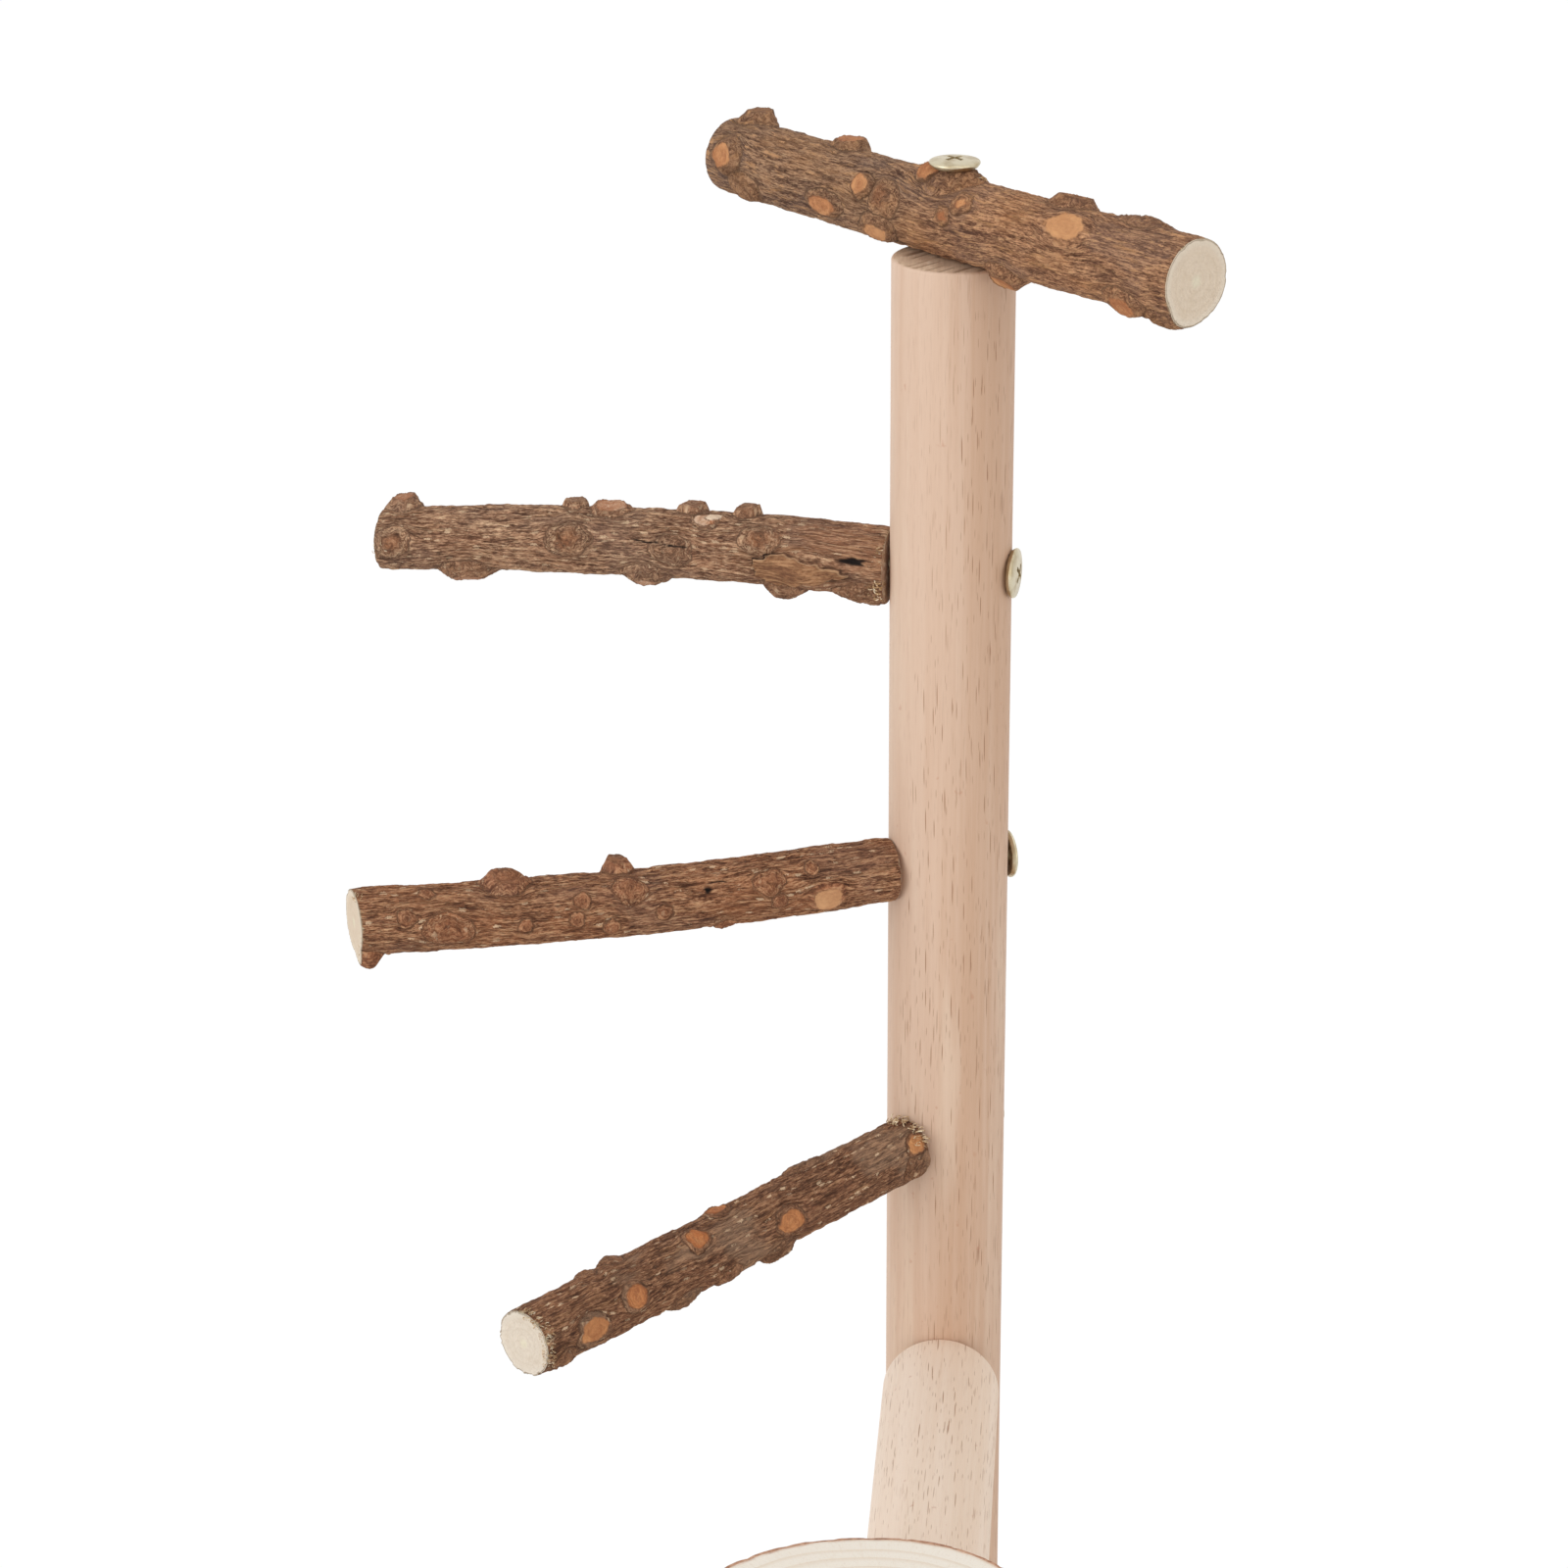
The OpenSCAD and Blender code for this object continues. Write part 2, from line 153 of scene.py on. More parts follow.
def loft(name, rings, zones, spreads, disc, marks):
    """A closed skin through rings of points, with a pole in the middle of the first and the last.

    zones says of each ring whether it is on the first end, the wall or the last end. The bake's
    map holds the wall as a strip and each end as a disc of that radius, with spreads as each
    ring's share of it. marks are the values that the points keep.
    """
    count, sides = rings.shape[:2]
    gaps = np.where(zones[:-1] == zones[1:], zones[1:], wall_zone)
    points = np.vstack([rings.reshape(-1, 3), rings[0].mean(0), rings[-1].mean(0)])
    i, j = (grid.ravel() for grid in np.meshgrid(range(count - 1), range(sides), indexing="ij"))
    row = np.stack([i, i, i + 1, i + 1], 1)
    column = np.stack([j, j + 1, j + 1, j], 1)
    corners = row * sides + column % sides
    margin = 0.005
    steps = np.linalg.norm(np.diff(rings, axis=0), axis=2).mean(1) * (gaps == wall_zone)
    climb = np.concatenate([[0], np.cumsum(steps)]) / steps.sum()
    disc_y = 1 - margin - disc
    disc_x = (disc + margin, 3 * disc + 2 * margin)
    turn = 2 * np.pi * column / sides
    reach = spreads[row] * disc
    zone = gaps[i][:, None]
    places = np.stack([
        np.where(zone == wall_zone, margin + (1 - 2 * margin) * column / sides,
                 np.where(zone == first_end, *disc_x) + reach * np.cos(turn)),
        np.where(zone == wall_zone, margin + (1 - 2 * disc - 4 * margin) * climb[row],
                 disc_y + reach * np.sin(turn)),
    ], -1)
    rolled = np.stack([column / sides, climb[row]], -1)

    def fan(columns, ring, pole, middle_x):
        vertices = np.where(columns < 0, pole, ring * sides + columns % sides)
        fan_turn = 2 * np.pi * columns / sides
        fan_reach = np.where(columns < 0, 0, spreads[ring] * disc)
        on_map = np.stack([middle_x + fan_reach * np.cos(fan_turn),
                           disc_y + fan_reach * np.sin(fan_turn)], -1)
        return vertices, on_map, on_map * 0

    around = np.arange(sides)
    pole_mark = np.full(sides, -1)
    parts = [
        (corners, places, rolled),
        fan(np.stack([pole_mark, around + 1, around], 1), 0, count * sides, disc_x[0]),
        fan(np.stack([around, around + 1, pole_mark], 1), count - 1, count * sides + 1, disc_x[1]),
    ]
    a, b, c = (points[corners[:, k]] for k in range(3))
    if (np.cross(b - a, c - a) * (a - points.mean(0))).sum() < 0:
        parts = [tuple(layer[:, ::-1] for layer in part) for part in parts]

    mesh = bpy.data.meshes.new(name)
    vertex_of = np.concatenate([part[0].ravel() for part in parts])
    fan_starts = corners.size + 3 * np.arange(2 * sides)
    mesh.vertices.add(len(points))
    mesh.vertices.foreach_set("co", points.ravel())
    mesh.loops.add(len(vertex_of))
    mesh.loops.foreach_set("vertex_index", vertex_of)
    mesh.polygons.add(len(corners) + 2 * sides)
    mesh.polygons.foreach_set(
        "loop_start", np.concatenate([4 * np.arange(len(corners)), fan_starts])
    )
    mesh.update(calc_edges=True)
    for map_name, layer in (("OFBake", 1), ("rolled", 2)):
        on_map = np.concatenate([part[layer].ravel() for part in parts])
        mesh.uv_layers.new(name=map_name).uv.foreach_set("vector", on_map)
    for mark, values in marks.items():
        flat = values.reshape(count * sides, -1)
        ends = [values[end].reshape(sides, -1).mean(0) for end in (0, -1)]
        flat = np.vstack([flat, *ends])
        kind, field = ("FLOAT_VECTOR", "vector") if flat.shape[1] == 3 else ("FLOAT", "value")
        mesh.attributes.new(mark, kind, "POINT").data.foreach_set(field, flat.ravel())
    mesh.shade_smooth()
    piece = bpy.data.objects.new(name, mesh)
    scene.collection.objects.link(piece)
    return piece


def settle(piece):
    """Turns what the piece's modifiers make into its plain mesh, with no material yet."""
    depsgraph = bpy.context.evaluated_depsgraph_get()
    made = bpy.data.meshes.new_from_object(
        piece.evaluated_get(depsgraph), preserve_all_data_layers=True, depsgraph=depsgraph
    )
    piece.modifiers.clear()
    piece.data = made
    made.name = piece.name
    made.materials.clear()
    made.polygons.foreach_set("material_index", np.zeros(len(made.polygons), int))


def drill(piece, bores):
    """Cuts round bores out of a piece: each has a mouth, a way in, a radius and a depth."""
    shape = bmesh.new()
    for mouth, way, radius, depth in bores:
        way = Vector(way).normalized()
        middle = Vector(mouth) + way * (depth - bore_over) / 2
        bmesh.ops.create_cone(
            shape, cap_ends=True, segments=48, radius1=radius, radius2=radius,
            depth=depth + bore_over,
            matrix=Matrix.Translation(middle) @ way.to_track_quat("Z", "Y").to_matrix().to_4x4(),
        )
    cutter = bpy.data.objects.new("cutter", bpy.data.meshes.new("cutter"))
    shape.to_mesh(cutter.data)
    shape.free()
    scene.collection.objects.link(cutter)
    cut = piece.modifiers.new("bores", "BOOLEAN")
    cut.operation = "DIFFERENCE"
    cut.solver = "MANIFOLD"
    cut.object = cutter
    settle(piece)
    bpy.data.objects.remove(cutter)
    piece.data.set_sharp_from_angle(angle=math.radians(42))


def log_slice(name, middle, width, lobes, low, high, pith, checks, sides, across, seed):
    """A slice of a log: faces of growth rings about its pith, and bark round the rim.

    A lobe has how often it comes round, its turn and its share of the radius. A check has its
    turn, and where it starts and ends as shares of the radius.
    """
    turns = [np.arange(sides) * 2 * np.pi / sides]
    turns += [math.radians(check[0]) + np.radians(np.linspace(-1.8, 1.8, 25)) for check in checks]
    turns = np.unique(np.concatenate(turns) % (2 * np.pi))
    outline = width / 2 * (1 + sum(
        share * np.cos(lobe * turns + math.radians(phase)) for lobe, phase, share in lobes
    ))
    out = np.stack([np.cos(turns), np.sin(turns)], 1)
    share, height, zone, inset = face_to_face(
        low, high, slice_ease, np.linspace(0.012, 1, across), rim_step, [30, 60])

    around = spots(middle.x + width / 2 * np.cos(turns), middle.y + width / 2 * np.sin(turns), height)
    plates = np.abs(noise(around, (9, 9, 16), seed))
    ridges = np.abs(noise(around, (2.6, 2.6, 7), seed + 1))
    chips = smooth_step(noise(around, (14, 14, 9), seed + 2), 0.45, 0.62)
    sunk = plate_groove * (1 - smooth_step(plates, 0, 0.2)) + ridge_h * (0.5 - ridges)
    sunk = np.clip(sunk + chip_depth * chips, 0, rim_relief)
    radius = outline - (inset + sunk) * smooth_step(share, 0.965, 1)
    edge = np.stack([middle.x + radius * np.cos(turns), middle.y + radius * np.sin(turns)], -1)
    flat = np.array(pith) + (edge - np.array(pith)) * share[..., None]
    flat = np.where(share[..., None] == 1, edge, flat)

    groove = 0
    for angle, start, end in checks:
        wander = check_wander * noise(spots(share * 9, 0, 0), 1, angle, unit=1)
        off = turn_from(turns, math.radians(angle) + np.radians(wander))
        taper = np.clip(np.minimum(share - start, end - share) / 0.12, 0, 1) ** 0.7
        wide = check_w * taper / 2 + 1e-9
        opened = np.clip(1.35 - np.abs(off) * outline * share / wide, 0, 1)
        groove = np.maximum(groove, taper * opened)
    depth = check_depth * groove
    height = height + np.where(zone == first_end, depth, np.where(zone == last_end, -depth, 0))
    flat = flat - out * np.where(zone == wall_zone, depth, 0)[..., None]
    rings = np.concatenate([flat, height[..., None]], -1)
    bark_edge = bark_t * (1 + 0.35 * noise(around, 5, seed + 3)) * (1 - 0.75 * chips)
    on_face = smooth_step((share - 1) * outline + bark_edge, -0.5 * mm, 0.5 * mm)
    marks = {
        "ring": np.broadcast_to(share, height.shape),
        "bark": np.where(zone == wall_zone, 1 - 0.7 * chips, on_face),
        # hollow: how far the rim is sunk, and the checks, for the material's painted shade
        "hollow": np.where(zone == wall_zone, sunk / rim_relief, 0) + 2 * groove,
        "ray": spots(np.cos(turns), np.sin(turns), share * 0.22 + (zone == last_end)),
    }
    return loft(name, rings, zone[:, 0], share[:, 0], face_map_r, marks)


class Link:
    """A node's output. Arithmetic on it adds Math nodes to its tree."""

    def __init__(self, bench, node, output):
        self.bench, self.node = bench, node
        self.socket = node.outputs[output] if node.outputs else None

    def also(self, output):
        return Link(self.bench, self.node, output)

    def worked(self, operation, *others):
        return self.bench.add("ShaderNodeMath", {"operation": operation},
                              dict(enumerate((self, *others))))

    def __add__(self, other):
        return self.worked("ADD", other)

    def __mul__(self, other):
        return self.worked("MULTIPLY", other)

    def __sub__(self, other):
        return self.worked("SUBTRACT", other)

    def __rsub__(self, other):
        return self.bench.add("ShaderNodeMath", {"operation": "SUBTRACT"}, {0: other, 1: self})

    def __truediv__(self, other):
        return self.worked("DIVIDE", other)

    def __lt__(self, other):
        return self.worked("LESS_THAN", other)

    def __gt__(self, other):
        return self.worked("GREATER_THAN", other)

    def __abs__(self):
        return self.worked("ABSOLUTE")

    __radd__, __rmul__ = __add__, __mul__


def seen(colour):
    """A colour as the shader takes it, from one as seen on a screen, each of 3 parts 0 to 255."""
    if isinstance(colour, tuple) and len(colour) == 3:
        return (*(((part / 255 + 0.055) / 1.055) ** 2.4 for part in colour), 1)
    return colour


class Bench:
    """A node tree at work: add() takes a node's type, its settings and its sockets' values."""

    def __init__(self, tree):
        self.tree = tree

    def add(self, kind, settings=None, sockets=None, output=0):
        node = self.tree.nodes.new(kind)
        for name, value in (settings or {}).items():
            if name == "stops":
                elements = node.color_ramp.elements
                while len(elements) < len(value):
                    elements.new(1)
                for element, (place, colour) in zip(elements, value):
                    element.position = place
                    element.color = seen(colour)
            else:
                setattr(node, name, value)
        for name, value in (sockets or {}).items():
            socket = node.inputs[name] if isinstance(name, int) else next(
                each for each in node.inputs
                if each.enabled and name in (each.identifier, each.name)
            )
            links = [value] if isinstance(value, Link) else value if isinstance(value, list) else []
            for link in links:
                self.tree.links.new(link.socket, socket)
            if not links:
                socket.default_value = value
        return Link(self, node, output)

    def mix(self, factor, first, second, blend="MIX"):
        return self.add(
            "ShaderNodeMix", {"data_type": "RGBA", "blend_type": blend},
            {"Factor_Float": factor, "A_Color": seen(first), "B_Color": seen(second)}, 2,
        )

    def coats(self, colour, *coats):
        """Lays coats over a colour.

        Each has a value, where on it the coat starts and where it is full, how much the coat
        covers there, and its own colour.
        """
        for value, start, full, cover, coat in coats:
            colour = self.mix(self.between(value, start, full) * cover, colour, coat)
        return colour

    def ramp(self, value, *stops):
        return self.add("ShaderNodeValToRGB", {"stops": stops}, {"Fac": value})

    def mark(self, name, output="Fac"):
        return self.add("ShaderNodeAttribute", {"attribute_name": name}, output=output)

    def place(self):
        return self.add("ShaderNodeTexCoord", output="Object")

    def split(self, vector, output="X"):
        return self.add("ShaderNodeSeparateXYZ", None, {"Vector": vector}, output)

    def joined(self, x=0.0, y=0.0, z=0.0):
        return self.add("ShaderNodeCombineXYZ", None, {"X": x, "Y": y, "Z": z})

    def vector(self, operation, first, second, output=0):
        return self.add("ShaderNodeVectorMath", {"operation": operation}, {0: first, 1: second}, output)

    def scaled(self, places, scales, moved=(0, 0, 0)):
        return self.add("ShaderNodeMapping", None,
                        {"Vector": places, "Scale": scales, "Location": moved})

    def speckle(self, places, scale, detail=3, roughness=0.55, warp=0):
        return self.add("ShaderNodeTexNoise", None, {
            "Vector": places, "Scale": scale, "Detail": detail, "Roughness": roughness,
            "Distortion": warp,
        })

    def between(self, value, low, high):
        return self.add("ShaderNodeMapRange", {"interpolation_type": "SMOOTHSTEP"},
                        {"Value": value, "From Min": low, "From Max": high})


def new_material(name):
    material = bpy.data.materials.new(name)
    material.use_nodes = True
    material.node_tree.nodes.clear()
    return material, Bench(material.node_tree)


def finish(colour, roughness, bump, bump_height, metal=0):
    """Ends a material with its shader and output."""
    bench = bump.bench
    normal = bench.add("ShaderNodeBump", None, {"Height": bump, "Distance": bump_height})
    shader = bench.add("ShaderNodeBsdfPrincipled", None, {
        "Base Color": colour, "Roughness": roughness, "Normal": normal, "Metallic": metal,
        "Specular IOR Level": 0.5 if metal else 0.28,
    })
    bench.add("ShaderNodeOutputMaterial", None, {"Surface": shader})


def slice_finish(name, growth_rings, ring_share, wood, late_wood, heart, bark_tones):
    """Sanded end grain with growth rings and rays, and bark where the bark mark says so."""
    material, bench = new_material(name)
    place = bench.place()
    ring, bark, hollow = (bench.mark(mark) for mark in ("ring", "bark", "hollow"))
    years = (ring + (bench.speckle(place, 16) - 0.5) * 0.09) * growth_rings
    widths = bench.add("ShaderNodeTexNoise", {"noise_dimensions": "1D"},
                       {"W": years * 0.3, "Scale": 1, "Detail": 2})
    phase = (years + widths * 4.5).worked("FRACT")
    late = bench.between(phase, 0.35, 0.92) * bench.between(phase, 1.0, 0.93)
    rays = bench.speckle(bench.mark("ray", "Vector"), 70, 3, 0.6)
    pores = bench.speckle(place, 1500, 2)
    stain = bench.speckle(place, 14)
    colour = bench.coats(
        bench.mix(late * (stain + widths) * ring_share, wood, late_wood),
        (ring, 0.46, 0.22, 0.55, heart),
        (rays, 0.5, 0.75, 0.28, late_wood),
        (pores, 0.56, 0.72, 0.12, (176, 140, 100)),
        (stain, 0.5, 0.8, 0.25, heart),
        (ring, 0.955, 0.985, 0.35, (214, 188, 150)),
    )
    fibre = bench.speckle(bench.scaled(place, (1, 1, 0.3)), 620, 4, 0.65)
    skin = bench.ramp(fibre * 0.6 + bench.speckle(place, 75) * 0.4,
                      *zip((0.36, 0.47, 0.56, 0.68), bark_tones))
    # Painted shade: the bark darkens where the rim is sunk, and the checks are painted dark inside.
    skin = bench.coats(skin, (hollow, 0.4, 0.95, 0.6, bark_tones[0]))
    colour = bench.coats(bench.mix(bark, colour, skin), (hollow, 1.2, 2.0, 0.85, (82, 58, 40)))
    bump = late * -0.25 + rays * 0.2 + pores * 0.25 + fibre * bark * 3
    finish(colour, 0.62 + bark * 0.25, bump, bump_height=0.12 * mm)
    return material


def fitted(piece, body, node):
    """The piece moves with its body and stands in for its plain solid."""
    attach(piece, body)
    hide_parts(node)


base_low, base_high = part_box("base")
base = log_slice("base_slice", base_middle, base_d, base_lobe_shares, base_low.z, base_high.z,
                 base_pith, base_checks, sides=380, across=84, seed=3)
screw_feet = [(side * base_screw_off, 0, base_low.z) for side in (-1, 1)]
drill(base, [(foot, (0, 0, 1), sunk_head_r, sunk_head_depth) for foot in screw_feet]
      + [(foot, (0, 0, 1), screw_hole_r, base_high.z + bore_over) for foot in screw_feet])
base.data.materials.append(slice_finish(
    "base_log_slice", base_growth_rings, ring_share=0.85, wood=(236, 220, 194),
    late_wood=(207, 177, 138), heart=(219, 193, 157),
    bark_tones=((104, 70, 54), (148, 104, 80), (176, 130, 103), (206, 168, 140)),
))
fitted(base, "stand", "base")


# The base's screws: large-headed cross-recess wood screws with a yellowish satin plating, driven
# up through the base into the post's end grain. All the other screws are of the same kind.
head_r = 7.2 * mm
head_t = 2.4 * mm
head_rim = 0.6 * mm
rim_rise = 1.05 * mm
rim_end = math.radians(62)
shank_r = 2.5 * mm
core_r = 1.8 * mm
neck_len = 5 * mm
point_len = 4 * mm
outline_step = 0.26 * mm
head_rim_low = -math.radians(30)
merge_gap = 0.002 * mm
screw_sizes = {
    "Sides": 56, "Thread pitch": 2.4 * mm, "Thread height": shank_r - core_r,
    "Thread start": -neck_len, "Thread end": 0, "Head height": head_t,
    "Recess size": (6.2 * mm, 1.3 * mm, 3.2 * mm), "Recess taper": 110,
    "Count": 1, "Spacing": 0,
}


def screw_outline(length):
    """Half the outline of a screw, from the middle of its head round to its point."""
    rim_x = head_r - head_rim + head_rim * math.cos(rim_end)
    rim_z = rim_rise + head_rim * math.sin(rim_end)
    dome = [(rim_x * share, head_t - (head_t - rim_z) * share**2) for share in np.linspace(0, 1, 12)]
    rim = [(head_r - head_rim + head_rim * math.cos(a), rim_rise + head_rim * math.sin(a))
           for a in np.linspace(rim_end, head_rim_low, 8)[1:]]
    under = [(reach, 0) for reach in np.linspace(head_r - head_rim, shank_r, 5)]
    neck = [(shank_r, -neck_len * 0.9), (core_r, -neck_len)]
    shank = [(core_r, z) for z in np.arange(-neck_len, point_len - length, -outline_step)[1:]]
    point = [(core_r * (1 - share), point_len - length - point_len * share)
             for share in np.linspace(0, 1, 10)]
    return dome + rim + under + neck + shank + point


def geometry_bench(name, kinds):
    """A bench for a new Geometry Nodes tree, and the node that its geometry and sizes come from."""
    tree = bpy.data.node_groups.new(name, "GeometryNodeTree")
    for size, kind in {"Geometry": "Geometry", **kinds}.items():
        tree.interface.new_socket(size, in_out="INPUT", socket_type=f"NodeSocket{kind}")
    tree.interface.new_socket("Made", in_out="OUTPUT", socket_type="NodeSocketGeometry")
    bench = Bench(tree)
    return bench, bench.add("NodeGroupInput")


def realized(bench, placed, material):
    """Ends a Geometry Nodes tree with plain geometry in its material, and gives the tree."""
    made = bench.add("GeometryNodeRealizeInstances", None, {"Geometry": placed})
    made = bench.add("GeometryNodeSetMaterial", None, {"Geometry": made, "Material": material})
    bench.add("NodeGroupOutput", None, {"Made": made})
    return bench.tree


def screw_tree(plating):
    """Turns an outline into a screw: a lathed body, a wound thread and a cross recess."""
    kinds = {name: "Float" for name in screw_sizes}
    kinds.update({"Sides": "Int", "Recess size": "Vector", "Count": "Int"})
    bench, given = geometry_bench("wood_screw", kinds)
    rows = bench.add("GeometryNodeAttributeDomainSize", {"component": "MESH"}, {"Geometry": given},
                     "Point Count")
    columns = given.also("Sides") + 1
    skin = bench.add("GeometryNodeMeshGrid", None, {
        "Size X": 1.0, "Size Y": 1.0, "Vertices X": rows, "Vertices Y": columns,
    })
    index = bench.add("GeometryNodeInputIndex")
    row = ((index + 0.5) / columns).worked("FLOOR")
    turn = (index - row * columns) / given.also("Sides")
    spot = bench.split(bench.add("GeometryNodeSampleIndex", {"data_type": "FLOAT_VECTOR"}, {
        "Geometry": given, "Value": bench.add("GeometryNodeInputPosition"), "Index": row,
    }))
    height = spot.also("Z")
    wave = (height / given.also("Thread pitch") - turn).worked("FRACT")
    crest = 1 - abs(wave - 0.5) * 3.2
    on_thread = (height < given.also("Thread start")) * (height > given.also("Thread end"))
    crest = crest.worked("MAXIMUM", 0) * on_thread * given.also("Thread height")
    reach = spot + crest
    angle = turn * (2 * math.pi)
    moved = bench.joined(reach * angle.worked("COSINE"), reach * angle.worked("SINE"), height)
    skin = bench.add("GeometryNodeSetPosition", None, {"Geometry": skin, "Position": moved})
    skin = bench.add("GeometryNodeMergeByDistance", None, {"Geometry": skin, "Distance": merge_gap})
    slot = bench.add("GeometryNodeMeshCube", None, {"Size": given.also("Recess size")})
    place = bench.add("GeometryNodeInputPosition")
    narrow = bench.split(place, "Z") * given.also("Recess taper") + 1
    narrow = bench.vector("MULTIPLY", place, bench.joined(narrow, narrow, 1.0))
    slot = bench.add("GeometryNodeSetPosition", None, {"Geometry": slot, "Position": narrow})
    lift = bench.joined(z=given.also("Head height"))
    slots = [bench.add("GeometryNodeTransform", None, {
        "Geometry": slot, "Translation": lift, "Rotation": (0, 0, math.radians(heading)),
    }) for heading in (45, 135)]
    screw = bench.add("GeometryNodeMeshBoolean", {"operation": "DIFFERENCE", "solver": "MANIFOLD"},
                      {"Mesh 1": skin, "Mesh 2": slots})
    step = bench.joined(given.also("Spacing"))
    start = bench.add("ShaderNodeVectorMath", {"operation": "SCALE"}, {
        0: step, "Scale": (given.also("Count") - 1) * -0.5,
    })
    line = bench.add("GeometryNodeMeshLine", None, {
        "Count": given.also("Count"), "Start Location": start, "Offset": step,
    })
    return realized(bench, bench.add("GeometryNodeInstanceOnPoints", None, {
        "Points": line, "Instance": screw,
    }), plating)


def plating_finish():
    """Satin yellowish plating, faintly mottled, with fine darker grit."""
    material, bench = new_material("yellowish_plating")
    place = bench.place()
    cloud = bench.speckle(place, 240)
    grit = bench.speckle(place, 2600, 2)
    colour = bench.mix(bench.between(cloud, 0.38, 0.66), (210, 199, 172), (184, 168, 136))
    colour = bench.coats(colour, (grit, 0.62, 0.78, 0.5, (158, 134, 100)))
    finish(colour, 0.27 + cloud * 0.16, grit + cloud * 0.6, bump_height=0.02 * mm, metal=1.0)
    return material


plating = plating_finish()
wood_screw = screw_tree(plating)


def grow(piece, tree, sizes, material):
    """Runs a tree on a piece with these sizes and keeps what it makes as the piece's mesh."""
    modifier = piece.modifiers.new(tree.name, "NODES")
    modifier.node_group = tree
    for item in tree.interface.items_tree:
        if item.in_out == "INPUT" and item.name in sizes:
            modifier[item.identifier] = sizes[item.name]
    settle(piece)
    piece.data.materials.append(material)


def screws(node, body, seat, way, length, count=1, spacing=0.0):
    """A node's screws: the head's flat underside lies at seat, the point lies along way."""
    mesh = bpy.data.meshes.new(node)
    mesh.from_pydata([(reach, 0, z) for reach, z in screw_outline(length)], [], [])
    piece = bpy.data.objects.new(f"{node}_turned", mesh)
    scene.collection.objects.link(piece)
    thread_end = point_len * 0.6 - length
    grow(piece, wood_screw,
         {**screw_sizes, "Thread end": thread_end, "Count": count, "Spacing": spacing}, plating)
    facing = Vector(way).to_track_quat("-Z", "X").to_matrix().to_4x4()
    piece.data.transform(Matrix.Translation(seat) @ facing)
    piece.data.shade_smooth()
    piece.data.set_sharp_from_angle(angle=math.radians(38))
    fitted(piece, body, node)


sunk_low, sunk_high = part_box("base_screws")
screws("base_screws", "stand", (0, 0, sunk_low.z + head_t), (0, 0, 1),
       sunk_high.z - sunk_low.z - head_t, count=2, spacing=2 * base_screw_off)


# The post: a stock beech dowel, planed round and lightly sanded. Its top is left as the saw cut
# it, and its upright grain shows as short dark flecks.
post_low, post_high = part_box("post")
post_d = post_high.x - post_low.x
post_len = post_high.z - post_low.z
dowel_sides = 176
dowel_step = 4 * mm
dowel_ease = 0.8 * mm
saw_mark_turn = math.radians(52)
saw_mark_gap = 3.6 * mm
saw_line_gap = 0.9 * mm
saw_mark_depth = 0.22 * mm
top_screw_bite = 32 * mm
base_screw_bite = 40 * mm
end_map_r = 0.12


def dowel(name, width, length, place, seed):
    """A round rod from its own zero up its own z, with eased edges and sawn ends."""
    turns = np.arange(dowel_sides) * 2 * np.pi / dowel_sides
    radius = width / 2
    share, height, zone, inset = face_to_face(
        0, length, dowel_ease, np.linspace(0.02, 1, 46), dowel_step, [22.5, 45, 67.5])
    face_r = radius - dowel_ease
    reach = np.where(zone == wall_zone, radius - inset, share * face_r)
    x, y = reach * np.cos(turns), reach * np.sin(turns)
    skin = spots(x, y, height)
    across = x * math.sin(saw_mark_turn) - y * math.cos(saw_mark_turn)
    along = x * math.cos(saw_mark_turn) + y * math.sin(saw_mark_turn)
    wander = noise(spots(across, along, 0), (3, 14, 1), seed)
    stroke = np.cos(2 * np.pi * (across / saw_mark_gap + 0.35 * wander))
    stroke = np.clip(1.2 * stroke - 0.35, 0, 1)
    fade = smooth_step(noise(skin, (7, 7, 7), seed + 1), -0.35, 0.25)
    fine = np.clip(np.cos(2 * np.pi * across / saw_line_gap + 2 * wander), 0, 1)
    on_end = zone != wall_zone
    groove = np.where(on_end, stroke * fade, 0)
    sunk = saw_mark_depth * (groove + 0.16 * fine * on_end)
    sunk = sunk * smooth_step(radius - reach, 0.7 * mm, 2 * mm)
    skin[..., 2] += np.where(zone == first_end, sunk, -sunk)
    marks = {
        "grain": skin.copy(),
        "end": np.broadcast_to(on_end.astype(float), x.shape),
        # hollow: the saw marks' grooves, for the material's painted shade
        "hollow": groove,
    }
    world = np.array(place)
    rings = skin @ world[:3, :3].T + world[:3, 3]
    return loft(name, rings, zone[:, 0], np.minimum(reach[:, 0] / face_r, 1), end_map_r, marks)


